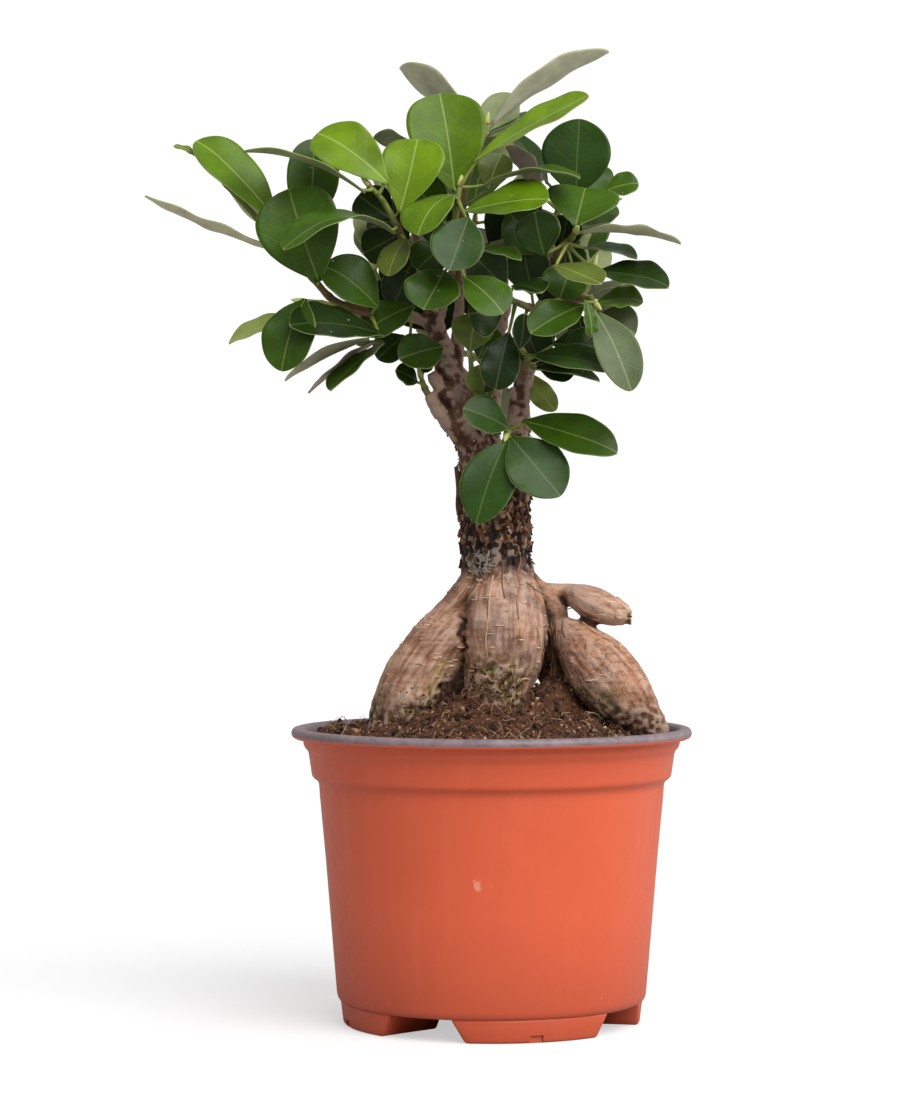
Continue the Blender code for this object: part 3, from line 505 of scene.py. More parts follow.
def tinted_finish(name, specular, grain_look, shade_look):
    """A matt finish for small loose pieces: each keeps its own colour, broken up by a fine grain."""
    made, shader, tree = new_finish(name, Roughness=0.95, Specular_IOR_Level=specular)
    own = add_node(tree, "Attribute", attribute_name="tint")
    where = add_node(tree, "TexCoord").outputs["Object"]
    grain = add_node(tree, "TexNoise", {"Vector": where, **grain_look})
    shade = add_node(tree, "MapRange", {0: grain, 1: 0.3, 2: 0.7, 3: shade_look[0], 4: shade_look[1]})
    graded = add_node(tree, "Mix", {0: 1.0, 6: own, 7: shade}, data_type="RGBA", blend_type="MULTIPLY")
    bumps = add_node(tree, "Bump", {"Height": grain, "Distance": 0.0004, "Strength": 0.6})
    feed(tree, shader, Base_Color=graded, Normal=bumps)
    return made, shader, tree, grain


# Loose peat and coir: dry and matt, each crumb and fibre its own brown.
loose_bits, _, _, _ = tinted_finish("peat_crumbs_and_coir_fibre", 0.25, {"Scale": 1500.0, "Detail": 3.0}, (0.55, 1.3))

CRUMB_COLOURS = [linear(c) for c in ("#1E120B", "#2F1D12", "#4C3121", "#684834", "#94755C", "#4A3A28")]
FIBRE_COLOURS = [linear(c) for c in ("#5E3D2B", "#7C553E", "#A98B70", "#3E2619", "#6E4632")]
draw = random.Random(12)
bpy.ops.mesh.primitive_ico_sphere_add(subdivisions=1, radius=1.0)
crumb = bpy.context.object
crumb_points = [v.co.copy() for v in crumb.data.vertices]
crumb_faces = [tuple(p.vertices) for p in crumb.data.polygons]
bpy.data.objects.remove(crumb, do_unlink=True)

CRUMBS, PERLITE_BITS, FIBRES = 2600, 26, 900
SOIL_EDGE = 53


def on_soil(reach, least):
    """A random (x, y) within reach of the pot's axis, spread evenly over the surface."""
    turn = draw.uniform(0, 2 * math.pi)
    radius = reach * math.sqrt(draw.uniform(least, 1))
    return radius * math.cos(turn), radius * math.sin(turn)


crumbs = Gathered()
for _ in range(CRUMBS):
    x, y = on_soil(52.5, 0.02)
    size = 0.28 + 0.85 * draw.random() ** 3
    centre = place((x, y, soil_height(x, y) + 0.25 * size))
    stretch = Vector([size * draw.uniform(0.4, 1.5) * MM for _ in range(3)])
    spin = Matrix.Rotation(draw.uniform(0, 6.3), 3, Vector([draw.uniform(-1, 1) for _ in range(3)]).normalized())
    points = []
    for p in crumb_points:
        points.append(centre + spin @ Vector([a * b * draw.uniform(0.5, 1.35) for a, b in zip(p, stretch)]))
    crumbs.solid(points, crumb_faces, draw.choice(CRUMB_COLOURS))
for _ in range(PERLITE_BITS):
    x, y = on_soil(50, 0.1)
    size = draw.uniform(0.35, 0.8)
    centre = place((x, y, soil_height(x, y) + 0.3 * size))
    points = [centre + p * size * MM * draw.uniform(0.7, 1.2) for p in crumb_points]
    crumbs.solid(points, crumb_faces, linear("#B5A994"))
for _ in range(FIBRES):
    x, y = on_soil(51, 0.05)
    way = draw.uniform(0, 2 * math.pi)
    length = draw.uniform(1.5, 7)
    bend = draw.uniform(-1.2, 1.2)
    lift = draw.uniform(0.2, 1.4) if draw.random() < 0.85 else draw.uniform(1.4, 3.0)
    thick = draw.uniform(0.09, 0.22)
    run = []
    for k in range(6):
        t = k / 5
        px = x + length * (t - 0.5) * math.cos(way + bend * t)
        py = y + length * (t - 0.5) * math.sin(way + bend * t)
        if math.hypot(px, py) > SOIL_EDGE:
            px, py = px * SOIL_EDGE / math.hypot(px, py), py * SOIL_EDGE / math.hypot(px, py)
        pz = soil_height(px, py) + 0.15 + lift * 4 * t * (1 - t)
        run.append((place((px, py, pz)), thick * (1 - 0.5 * t) * MM))
    crumbs.tube(run, 4, draw.choice(FIBRE_COLOURS))
litter = crumbs.piece("soil_crumbs_and_fibres", loose_bits)
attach(litter, "root")


# ---------------------------------------------------------------- roots, neck and limbs
# One rootstock of a grafted fig: swollen aerial roots that meet in a knotted neck, and the limbs
# grafted above it. Skin like thin cork below, dark scaly bark on the neck, smooth grey wood above.

# runs of (x, y, z, radius)
WOOD = {
    "neck": (
        (2.6, 0, 122, 11.6), (1.8, 0, 133, 11), (1.4, 0, 140, 10.5), (1.2, 0, 150, 10.6),
        (1.2, 0, 159, 9.7), (0.8, 0, 167, 7),
    ),
    "centre_root": (
        (3, -2, 136, 7.6), (3.5, -4, 128, 11.6), (3.8, -6, 117, 13), (3.2, -7, 107, 11),
        (0.8, -7, 98, 9.4), (-0.5, -6, 88, 8.4), (0, -5, 76, 7),
    ),
    "left_root": (
        (-2, -1, 131, 7.4), (-9, -2.5, 121.6, 8.2), (-16, -4, 113.2, 9.3), (-21, -5, 106, 10),
        (-25, -6, 99, 9.4), (-28.5, -6, 91, 8.2), (-31, -6, 82, 6.5), (-32, -6, 75, 5),
    ),
    "right_shoulder": (
        (7, 1, 131, 6.5), (12, 2, 127.6, 6.2), (17.2, 2.5, 124.8, 5.0), (19.4, 3, 120, 4.0), (20.2, 3, 114, 3.4),
        (20.0, 3, 107, 2.6), (20, 3, 98, 2.8), (21, 3, 84, 3),
    ),
    "stub_tuber": (
        (13.5, 1, 129.8, 2.2), (20.4, 0.5, 129.7, 2.1), (23.4, 0, 129.2, 2.7), (25.7, -0.8, 127.9, 4.1),
        (29, -1.5, 126.2, 5.1), (33.6, -2.4, 124.2, 5.1), (38.3, -3.2, 122.3, 4.0), (41, -3.7, 120.8, 2.4),
    ),
    "right_tuber": (
        (16.5, 2, 121.0, 2.6), (20.5, 0, 118.4, 3.7), (24.5, -2, 114.9, 6.6), (29.5, -4, 109.2, 9.4),
        (34.8, -6, 102.8, 10.2), (40.3, -8, 96.8, 9.0), (46, -9, 91.2, 6.0), (49.8, -9, 86.8, 3.2),
        (49, -8.5, 80, 2.0),
    ),
    "back_root": (
        (2, 4, 133, 7), (-1, 12, 123, 9.5), (-4, 20, 112, 10.5), (-7, 26, 99, 9.5), (-9, 29, 87, 8),
        (-10, 30, 76, 6),
    ),
    "back_right_root": (
        (6, 4, 130, 6), (13, 11, 120, 7), (19, 18, 109, 7.5), (24, 24, 98, 6.8), (27, 28, 86, 5),
        (28, 29, 76, 4),
    ),
    "left_limb": (
        (-0.8, 0, 157, 8.2), (-3, 0, 166, 6.5), (-5.8, 0, 174, 5.4), (-8.9, 0, 183, 5.1),
        (-12.2, 0, 192, 4.2), (-14.6, 0, 201, 3.6), (-17.2, 0, 210, 2.8), (-19, 1, 219, 2.3),
        (-20.5, 2, 227, 2.0),
    ),
    "right_limb": (
        (5, 0, 157, 7), (6.4, 0, 167, 4.9), (7.6, 0, 177, 3.8), (9, 0, 190, 3.2), (12, 2, 202, 2.8),
        (15.6, 4, 213, 2.5), (17.3, 5, 223, 2.3), (17.8, 5, 230, 2.0),
    ),
    "middle_branch": (
        (-11.6, 0, 190, 3), (-10.6, 4, 199, 2.4), (-10, 5, 209, 2.0), (-9.4, 5, 219, 1.9),
        (-8.8, 4.2, 227, 1.8),
    ),
    "back_branch": (
        (0.5, 3, 162, 5.5), (-1, 9, 174, 4), (0, 14, 188, 3.1), (2, 18, 202, 2.5), (4, 21, 214, 2.0),
        (5, 23, 221, 1.8),
    ),
    "left_side_branch": (
        (-8.4, -1, 173, 3), (-12.6, -2.5, 179, 2.5), (-16.6, -4, 184.5, 2.0), (-18.8, -5, 188, 1.8),
    ),
    "left_stub": ((-12.4, -1, 187, 2.2), (-15.2, -3.2, 190, 1.9), (-18.3, -5, 194.4, 1.7)),
    "right_stub": ((8.6, -1, 185.5, 1.8), (6.6, -3, 188, 1.6), (5.2, -4.4, 190.4, 1.4)),
    "left_twig": (
        (-17, 0, 209, 2.2), (-24, -3, 211.5, 1.8), (-31, -6, 212.6, 1.8), (-36, -8.3, 213, 1.8),
    ),
    "front_twig": (
        (-16, -1, 206, 2), (-15, -7, 211.5, 1.6), (-14, -10.5, 215, 1.6), (-13.4, -13, 217.5, 1.7),
    ),
    "low_left_twig": ((-13.4, 0, 196.5, 2), (-18.5, -2, 200, 1.8), (-23, -3.6, 201.8, 1.8)),
    "right_twig": ((16, 4, 212, 2), (20, -1, 214.6, 1.8), (22.5, -4.8, 215.6, 1.8)),
    "back_left_twig": (
        (-1, 12, 182, 2.4), (-8, 18, 194, 2), (-16, 23, 204, 1.8), (-22, 25.6, 210, 1.8),
    ),
    "back_right_twig": (
        (1, 16, 195, 2.2), (8, 21, 203, 1.8), (15, 25, 209, 1.8), (20, 27.6, 212.2, 1.8),
    ),
}

WOOD_VOXEL = 0.78


def along(points, steps):
    """A smooth curve through points of (x, y, z, r), as centres and radii in metres."""
    padded = [points[0]] + list(points) + [points[-1]]
    found = []
    for i in range(1, len(padded) - 2):
        a, b, c, d = (Vector(p) for p in padded[i - 1 : i + 3])
        for step in range(steps):
            t = step / steps
            found.append(
                0.5 * ((2 * b) + (c - a) * t + (2 * a - 5 * b + 4 * c - d) * t * t + (3 * b - a - 3 * c + d) * t**3)
            )
    found.append(Vector(points[-1]))
    return [(place(p), p[3] * MM) for p in found]


strands = Gathered()
for run in WOOD.values():
    strands.tube(along(run, 6), 24, (0, 0, 0, 1))
wood = strands.piece("rootstock", peat)
remesh = wood.modifiers.new("grown_together", "REMESH")
remesh.mode = "VOXEL"
remesh.voxel_size = WOOD_VOXEL * MM
only(wood)
bpy.ops.object.modifier_apply(modifier=remesh.name)
relax = wood.modifiers.new("relaxed", "SMOOTH")
relax.factor = 0.5
relax.iterations = 6
bpy.ops.object.modifier_apply(modifier=relax.name)

mesh = wood.data
count = len(mesh.vertices)
flat = np.empty(count * 3)
mesh.vertices.foreach_get("co", flat)
spots = flat.reshape(-1, 3)
normals = np.empty(count * 3)
mesh.vertices.foreach_get("normal", normals)
normals = normals.reshape(-1, 3)
grown = (spots - [POT_AXIS_X, 0, 0]) / MM

# Which way the wood runs at each point, so that its wrinkles and ridges follow it.
lines = [(name, along(run, 8)) for name, run in WOOD.items()]
tree_of_lines = KDTree(sum(len(run) for _, run in lines))
ways = []
for name, run in lines:
    for i, (centre, radius) in enumerate(run):
        tree_of_lines.insert(centre, len(ways))
        ahead = (run[min(i + 1, len(run) - 1)][0] - run[max(i - 1, 0)][0]).normalized()
        ways.append((centre, ahead, radius, name))
tree_of_lines.balance()


def ramp(value, low, high):
    return min(1.0, max(0.0, (value - low) / (high - low)))


LIMBS = ("left_limb", "right_limb", "middle_branch", "back_branch", "left_side_branch", "left_stub", "right_stub")
push = np.zeros(count)
bark_share = np.zeros(count)
plate_shade = np.zeros(count)
flow = np.zeros((count, 3))
for i in range(count):
    x, y, z = grown[i]
    point = Vector((x, y, z))
    near = [ways[k] for _, k, _ in tree_of_lines.find_n(Vector(spots[i]), 6)]
    centre, ahead, radius, name = min(near, key=lambda w: (Vector(spots[i]) - w[0]).length / w[2])
    offset = Vector(spots[i]) - centre
    if ahead.z > 0:
        ahead = -ahead
    side = (offset - ahead * offset.dot(ahead)).normalized()
    round_x, round_y = side.x * radius / MM, side.y * radius / MM
    thick = min(1.0, radius / MM / 6)
    limb = name in LIMBS and z > 150
    neck = ramp(z, 132, 141) * (1 - 0.6 * ramp(z, 168, 178))
    # slow lumps, then fine lengthwise furrows, then crosswise wrinkles of the skin
    lump = 0.75 * noise.noise(point / 13) + 0.35 * noise.noise(point / 6 + Vector((7, 0, 0)))
    fluted = noise.noise(Vector((round_x / 1.5, round_y / 1.5, z / 17)) + Vector((3, 1, 0)))
    furrow = noise.noise(Vector((round_x / 0.62, round_y / 0.62, z / 9)) + Vector((11, 4, 0)))
    wrinkle = noise.noise(Vector((round_x / 5, round_y / 5, z / 0.85)) + Vector((0, 9, 2)))
    deep = -max(0.0, fluted - 0.18) * 1.1
    move = thick * (lump + 0.30 * fluted + 0.16 * furrow + 0.15 * wrinkle + deep * (1 - neck))
    if neck > 0:
        # plates of scaly bark: broken cells, taller than wide, each at its own height
        warped = Vector((x / 1.9, y / 1.9, z / 2.7)) + noise.noise_vector(point / 3.0) * 0.45
        cells = noise.voronoi(warped)
        gap = cells[0][1] - cells[0][0]
        own = noise.cell(cells[1][0] * 3.7)
        plate = ramp(gap, 0.04, 0.22) * (0.35 + 0.65 * own) * 1.1 - 0.45
        knots = 0.9 * noise.noise(point / 4.2 + Vector((0, 0, 5))) + 0.5 * noise.noise(point / 1.5)
        strength = 0.5 if limb and z > 160 else 1.0
        move = move * (1 - neck) + neck * (lump + strength * (plate + knots) + 0.12 * furrow)
        plate_shade[i] = own * ramp(gap, 0.05, 0.25)
    if limb and z > 158:
        ringed = noise.noise(Vector((x / 6, y / 6, z / 1.3)))
        move += 0.3 * noise.noise(point / 1.6) + 0.22 * ringed + 0.35 * noise.noise(point / 3.6)
    # earthy, mossy crust on the foot of the centre root and inside the left one
    crusted = ramp(113 - z, 0, 8) * math.exp(-(((x - 1.5) / 9) ** 4))
    crusted = max(crusted, ramp(104 - z, 0, 6) * math.exp(-(((x + 19) / 7) ** 2)), 0.7 * ramp(99 - z, 0, 8))
    if crusted > 0.02:
        move += crusted * (0.9 * noise.noise(point / 1.7) + 0.8 * noise.noise(point / 3.4) + 0.2)
    if name == "stub_tuber" and x > 37.5:
        move += 0.9 * noise.noise(Vector((y, z, 3)) / 1.3)
    push[i] = move
    bark_share[i] = neck if not limb else neck * (1 - ramp(z, 160, 172))
    flow[i] = (round_x, round_y, z)

# The crack in the left root's front and the hole under it, where the two big roots part.
# from (x, z) to (x, z), half width, depth
CLEFTS = (((-9.2, 122.0), (-8.4, 112), 0.55, 1.5), ((-12.6, 99.2), (-12.2, 92), 3.0, 3.2))
for (x0, z0), (x1, z1), half, depth in CLEFTS:
    for i in range(count):
        x, y, z = grown[i]
        if y > 2 or not z1 - 3 < z < z0 + 3:
            continue
        t = min(1.0, max(0.0, (z0 - z) / (z0 - z1)))
        middle = x0 + (x1 - x0) * t + 0.7 * math.sin(z * 0.9) + 0.4 * math.sin(z * 2.3)
        away = math.hypot(x - middle, max(0.0, z - z0, z1 - z)) / half
        push[i] -= depth * math.exp(-away * away)

moved = spots + normals * (push * MM)[:, None]
moved[:, 2] = np.clip(moved[:, 2], 0.071, None)
mesh.vertices.foreach_set("co", moved.ravel())
mesh.update()

# How deep each point lies in a crease, from how far the wood round it stands out: the bark finish paints shade into
# the creases and a highlight onto the ridges from it.
pairs = np.empty(len(mesh.edges) * 2, dtype=np.int32)
mesh.edges.foreach_get("vertices", pairs)
pairs = pairs.reshape(-1, 2)
degree = np.bincount(pairs.ravel(), minlength=count)


def neighbours_mean(values):
    total = np.zeros_like(values)
    np.add.at(total, pairs[:, 0], values[pairs[:, 1]])
    np.add.at(total, pairs[:, 1], values[pairs[:, 0]])
    return total / (degree[:, None] if values.ndim == 2 else degree)


fresh_normals = np.empty(count * 3)
mesh.vertices.foreach_get("normal", fresh_normals)
fresh_normals = fresh_normals.reshape(-1, 3)
depths = []
for rounds in (14, 3):
    smoothed = moved.copy()
    for _ in range(rounds):
        smoothed = neighbours_mean(smoothed)
    depths.append(((smoothed - moved) * fresh_normals).sum(axis=1) / MM)
broad, tight = depths
crease = np.clip(0.5 + 0.55 * broad + 1.1 * tight, 0, 1)
crease = 0.5 * crease + 0.5 * neighbours_mean(crease)


def mark(mesh, name, values, kind="FLOAT", field="value"):
    """Stores one value for each point of the mesh, for its finish to read."""
    mesh.attributes.new(name, kind, "POINT").data.foreach_set(field, values)


mark(mesh, "crease", crease)
mark(mesh, "bark", bark_share)
mark(mesh, "flow", flow.ravel(), "FLOAT_VECTOR", "vector")

# The parts' colours, as paint that the finish then breaks up: their own, and painted shade low on the roots.
SKIN = linear("#B08468")
SKIN_PALE = linear("#CCA28A")
SKIN_BROWN = linear("#845A40")
SKIN_GREY = linear("#A58C82")
TUBER_TAN = linear("#AE7650")
MOSSY = linear("#8B7B46")
OCHRE = linear("#B09658")
GREENISH = linear("#5C6034")
DIRT = linear("#3A2416")
EARTH = linear("#5E3E28")
LIMB = linear("#6A4634")
LIMB_GREY = linear("#705643")
tints = []
crazed = []
for i in range(count):
    x, y, z = grown[i]
    point = Vector((x, y, z))
    broad_noise = noise.noise(point / 8 + Vector((2, 5, 1)))
    fine = noise.noise(point / 2.4)
    finest = noise.noise(point / 1.1 + Vector((4, 4, 4)))
    tone = blended(SKIN, SKIN_PALE, ramp(broad_noise + 0.4 * fine, -0.05, 0.5))
    tone = blended(tone, SKIN_BROWN, 0.85 * ramp(-broad_noise + 0.5 * fine, 0.0, 0.5))
    # a small grey patch where the tuft clings to the neck's foot
    tuft = math.exp(-(((x + 3.4) / 2.6) ** 2) - ((z - 138.4) / 2.4) ** 2) * (y < 0)
    tone = blended(tone, SKIN_GREY, 0.6 * ramp(noise.noise(point / 11 + Vector((9, 0, 3))), 0.05, 0.4))
    tuber = ramp(x, 20, 26) * (1 - ramp(z, 136, 142))
    tone = blended(tone, TUBER_TAN, 0.75 * tuber * (0.75 + 0.5 * fine))
    crazed.append(tuber * ramp(fine + broad_noise, -0.5, 0.1))
    # painted shade: the skin turns darker brown low on the centre root's sides and on the left root's flank
    painted_low_shade = ramp(118 - z, 0, 14) * (1 - ramp(x, 20, 24))
    tone = blended(tone, SKIN_BROWN, 0.55 * painted_low_shade * ramp(fine + 0.3, -0.2, 0.6))
    # moss and stain on the lower centre, at the tuber's foot and inside the left root
    centre_low = ramp(112 - z, 0, 5) * math.exp(-(((x - 1.5) / 9) ** 4))
    if centre_low > 0.03:
        crust = blended(EARTH, MOSSY, ramp(fine + 0.7 * finest, -0.25, 0.3))
        crust = blended(crust, OCHRE, ramp(finest + 0.5 * broad_noise, 0.15, 0.5))
        crust = blended(crust, DIRT, ramp(-fine + 0.4 * finest, 0.15, 0.5))
        tone = blended(tone, crust, min(1.0, centre_low * (1.0 + fine)))
    under_tuber = ramp(14 - math.hypot(x - 30, z - 91), 0, 9) * ramp(x, 20, 25)
    stain = max(under_tuber, 0.8 * math.exp(-((x + 37) ** 2 + (z - 92) ** 2) / 50))
    tone = blended(tone, GREENISH, min(0.9, stain * (0.9 + fine)))
    patch = math.exp(-((x + 17 - 0.45 * (z - 100)) ** 2) / 12) * ramp(z, 86, 92) * (1 - ramp(z, 104, 111)) * (y < 4)
    ochre_patch = blended(OCHRE, MOSSY, ramp(finest, -0.1, 0.3))
    tone = blended(tone, ochre_patch, min(0.85, patch * (0.9 + fine)))
    soil_line = ramp(99.5 + 4 * fine + 2.5 * broad_noise - z, 0, 7)
    tone = blended(tone, blended(DIRT, EARTH, ramp(finest, -0.2, 0.3)), 0.8 * soil_line)
    fibrous = ramp(x, 14.0, 16.5) * (1 - ramp(x, 21.5, 23.5)) * ramp(z, 98, 104) * (1 - ramp(z, 120, 126))
    tone = blended(tone, linear("#6E4A32"), 0.85 * fibrous)
    bark = bark_share[i]
    if bark > 0:
        own = plate_shade[i]
        plate_tone = blended(linear("#2C1A10"), linear("#7A5138"), ramp(own + 0.5 * fine, 0.1, 0.9))
        if own > 0.86:
            plate_tone = linear("#B08766")
        elif 0.60 < own < 0.72:
            plate_tone = linear("#935A34")
        if x > 5 and z > 150:
            plate_tone = blended(plate_tone, linear("#9A6038"), 0.5)
        band = math.exp(-(((z - 140.5 - 1.5 * fine) / 4.2) ** 4))
        plate_tone = blended(plate_tone, linear("#1A110B"), 0.85 * band)
        tone = blended(tone, plate_tone, min(1.0, bark * 1.1))
    tone = blended(tone, linear("#A0958A"), min(0.85, tuft * (1.1 + fine)))
    upper = ramp(z, 162, 172)
    if upper > 0:
        limb_tone = blended(LIMB, LIMB_GREY, ramp(broad_noise + 0.5 * fine, -0.1, 0.5))
        limb_tone = blended(limb_tone, linear("#4E3120"), 0.75 * ramp(-fine + 0.5 * finest, 0.0, 0.45))
        tone = blended(tone, limb_tone, upper)
    if x > 38.8 and 112 < z < 130:
        cut = blended(linear("#C99B7C"), linear("#6A4430"), ramp(finest + fine, -0.2, 0.4))
        tone = blended(tone, cut, ramp(x, 38.8, 40))
    tints.append(tone)
mark(mesh, "tint", [v for t in tints for v in t], "FLOAT_COLOR", "color")
mark(mesh, "crazed", crazed)

# Fig bark: matt, thin and corky. Darker in every crease, painted shade with some dirt; paler on what stands proud,
# dust with a painted highlight; with fine lengthwise fissures about 0.5 mm apart and crosswise lenticels.
bark_finish, shader, tree = new_finish("fig_bark_natural", Specular_IOR_Level=0.35)
own = add_node(tree, "Attribute", attribute_name="tint")
hollow = add_node(tree, "Attribute", attribute_name="crease").outputs["Fac"]
scaly = add_node(tree, "Attribute", attribute_name="bark").outputs["Fac"]
running = add_node(tree, "Attribute", attribute_name="flow").outputs["Vector"]
crazing = add_node(tree, "Attribute", attribute_name="crazed").outputs["Fac"]
where = add_node(tree, "TexCoord").outputs["Object"]
grain = add_node(tree, "TexNoise", {"Vector": where, "Scale": 900.0, "Detail": 5.0, "Roughness": 0.7})
blotch = add_node(tree, "TexNoise", {"Vector": where, "Scale": 210.0, "Detail": 5.0, "Roughness": 0.65})
lengthwise = add_node(tree, "Mapping", {"Vector": running, "Scale": (2.5, 2.5, 0.12)})
fissures = add_node(tree, "TexNoise", {"Vector": lengthwise, "Scale": 1.0, "Detail": 4.0, "Roughness": 0.7})
crosswise = add_node(tree, "Mapping", {"Vector": running, "Scale": (0.35, 0.35, 1.7)})
rings = add_node(tree, "TexNoise", {"Vector": crosswise, "Scale": 1.0, "Detail": 4.0, "Roughness": 0.65})
mottled_share = add_node(tree, "MapRange", {0: blotch, 1: 0.40, 2: 0.64, 3: 0.0, 4: 0.75})
browned = {0: 1.0, 6: own, 7: linear("#A88A76")}
browned = add_node(tree, "Mix", browned, data_type="RGBA", blend_type="MULTIPLY")
fissure_share = add_node(tree, "MapRange", {0: fissures, 1: 0.52, 2: 0.66, 3: 0.0, 4: 0.68})
# pale rings cross the smooth skin, but not the scaly bark
ring_share = add_node(tree, "MapRange", {0: rings, 1: 0.56, 2: 0.72, 3: 0.0, 4: 0.42})
smooth_skin = add_node(tree, "Math", {0: 1.0, 1: scaly}, operation="SUBTRACT")
ring_kept = add_node(tree, "Math", {0: ring_share, 1: smooth_skin}, operation="MULTIPLY")
# the tubers' skin is crazed: fine dark cracks round islands about 2.5 mm across
strayed = add_node(tree, "TexNoise", {"Vector": where, "Scale": 240.0, "Detail": 3.0}).outputs["Color"]
astray = add_node(tree, "VectorMath", {0: strayed, 1: (0.0035, 0.0035, 0.0035)}, operation="MULTIPLY")
bent = add_node(tree, "VectorMath", {0: where, 1: astray}, operation="ADD")
cells = add_node(tree, "TexVoronoi", {"Vector": bent, "Scale": 330.0}, feature="DISTANCE_TO_EDGE")
crack = add_node(tree, "MapRange", {0: cells, 1: 0.01, 2: 0.07, 3: 0.75, 4: 0.0})
crack_kept = add_node(tree, "Math", {0: crack, 1: crazing}, operation="MULTIPLY")
# painted shade, with dirt, in the creases and a painted highlight, with dust, on what stands proud, from the crease
# depth
crease_dirt_and_painted_shade = add_node(tree, "MapRange", {0: hollow, 1: 0.54, 2: 0.84, 3: 0.0, 4: 0.9})
ridge_dust_and_painted_highlight = add_node(tree, "MapRange", {0: hollow, 1: 0.42, 2: 0.2, 3: 0.0, 4: 0.45})
tone = add_node(tree, "Mix", {0: mottled_share, 6: own, 7: browned}, data_type="RGBA")
for share, colour in (
    (fissure_share, "#55351F"), (ring_kept, "#D2AE94"), (crack_kept, "#4A2C1C"), (crease_dirt_and_painted_shade, "#24150D"),
    (ridge_dust_and_painted_highlight, "#D5B8A4"),
):
    tone = add_node(tree, "Mix", {0: share, 6: tone, 7: linear(colour)}, data_type="RGBA")
rough = add_node(tree, "MapRange", {0: grain, 1: 0.3, 2: 0.7, 3: 0.62, 4: 0.9})
coarse = add_node(tree, "Bump", {"Height": fissures, "Distance": 0.0006, "Strength": 0.7})
finer = add_node(tree, "Bump", {"Height": grain, "Distance": 0.0004, "Strength": 0.6, "Normal": coarse})
feed(tree, shader, Base_Color=tone, Roughness=rough, Normal=finer)
mesh.materials.clear()
mesh.materials.append(bark_finish)
mesh.shade_smooth()
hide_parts("roots_and_limbs")
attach(wood, "root")

wood_surface = BVHTree.FromPolygons([Vector(p) for p in moved], [tuple(p.vertices) for p in mesh.polygons])

# Loose wood: thin rootlets that lie on the roots or hang from the neck, lifting flakes of bark, and
# the frayed cut ends of what was pruned.
WOOD_GRAIN = {"Scale": 1100.0, "Detail": 4.0, "Roughness": 0.7}
loose_wood, shader, tree, grain = tinted_finish("fig_bark_flakes_and_rootlets", 0.3, WOOD_GRAIN, (0.6, 1.25))
rough = add_node(tree, "MapRange", {0: grain, 1: 0.3, 2: 0.7, 3: 0.65, 4: 0.9})
feed(tree, shader, Roughness=rough)


def on_wood(x, z, lift):
    """The point of the wood seen from the front at (x, z), lifted off it by so many millimetres."""
    hit, normal, _, _ = wood_surface.ray_cast(place((x, -60, z)), Vector((0, 1, 0)))
    if hit is None:
        return None, None
    return hit + normal * lift * MM, normal


def beside(spot, run):
    """Whether the spot carries a run on along the same face, rather than jumping a gap in the wood."""
    return not run or (spot - run[-1][0]).length < 3.5 * MM


rootlets = Gathered()
# (x, z) down each rootlet, its thickness in millimetres and its colour
for line, thick, colour in (
    (((7.6, 143), (8.5, 138.5), (7.7, 135), (8.2, 131), (7.3, 127), (7.9, 121.5)), 0.24, "#A5704A"),
    (((0.4, 134), (-0.6, 129), (-1.0, 122), (-1.8, 115), (-1.2, 109.5)), 0.26, "#C9A988"),
    (((13.5, 119), (14.4, 113), (14.0, 106), (14.6, 99)), 0.26, "#BFA182"),
    (((17.5, 118), (18.6, 111), (18.0, 104), (19.0, 97)), 0.34, "#A47A55"),
    (((20.4, 113), (20.9, 107), (20.2, 101), (21.0, 95)), 0.30, "#8A6244"),
    (((-4.6, 138), (-6.4, 132), (-10.2, 127)), 0.24, "#8C6A4C"),
    (((3.4, 137), (3.0, 132), (3.8, 127.5)), 0.3, "#7B5A40"),
    (((-24.5, 122), (-27.4, 116), (-30, 110)), 0.3, "#C7A48A"),
    (((10.5, 132), (13.5, 129.5), (17.0, 127.5)), 0.22, "#8E6648"),
    (((-14.6, 104), (-13.0, 99), (-14.0, 95), (-12.2, 92)), 0.24, "#A98358"),
    (((5.5, 107), (6.8, 102), (6.2, 96)), 0.2, "#9C8A5A"),
    (((27, 120), (31, 117), (34.5, 115)), 0.25, "#C49A74"),
):
    run = []
    path = along([(x, 0, z, thick) for x, z in line], 6)
    for k, (centre, radius) in enumerate(path):
        t = k / (len(path) - 1)
        spot, _ = on_wood((centre.x - POT_AXIS_X) / MM, centre.z / MM, 0.55 * thick)
        if spot is not None and beside(spot, run):
            run.append((spot, radius * (1 - 0.45 * t)))
    if len(run) > 3:
        base_colour = linear(colour)
        soiled = [0.5 * ramp(k / len(run), 0.7, 1) for k in range(len(run))]
        rootlets.tube(run, 7, [blended(base_colour, DIRT, share) for share in soiled])
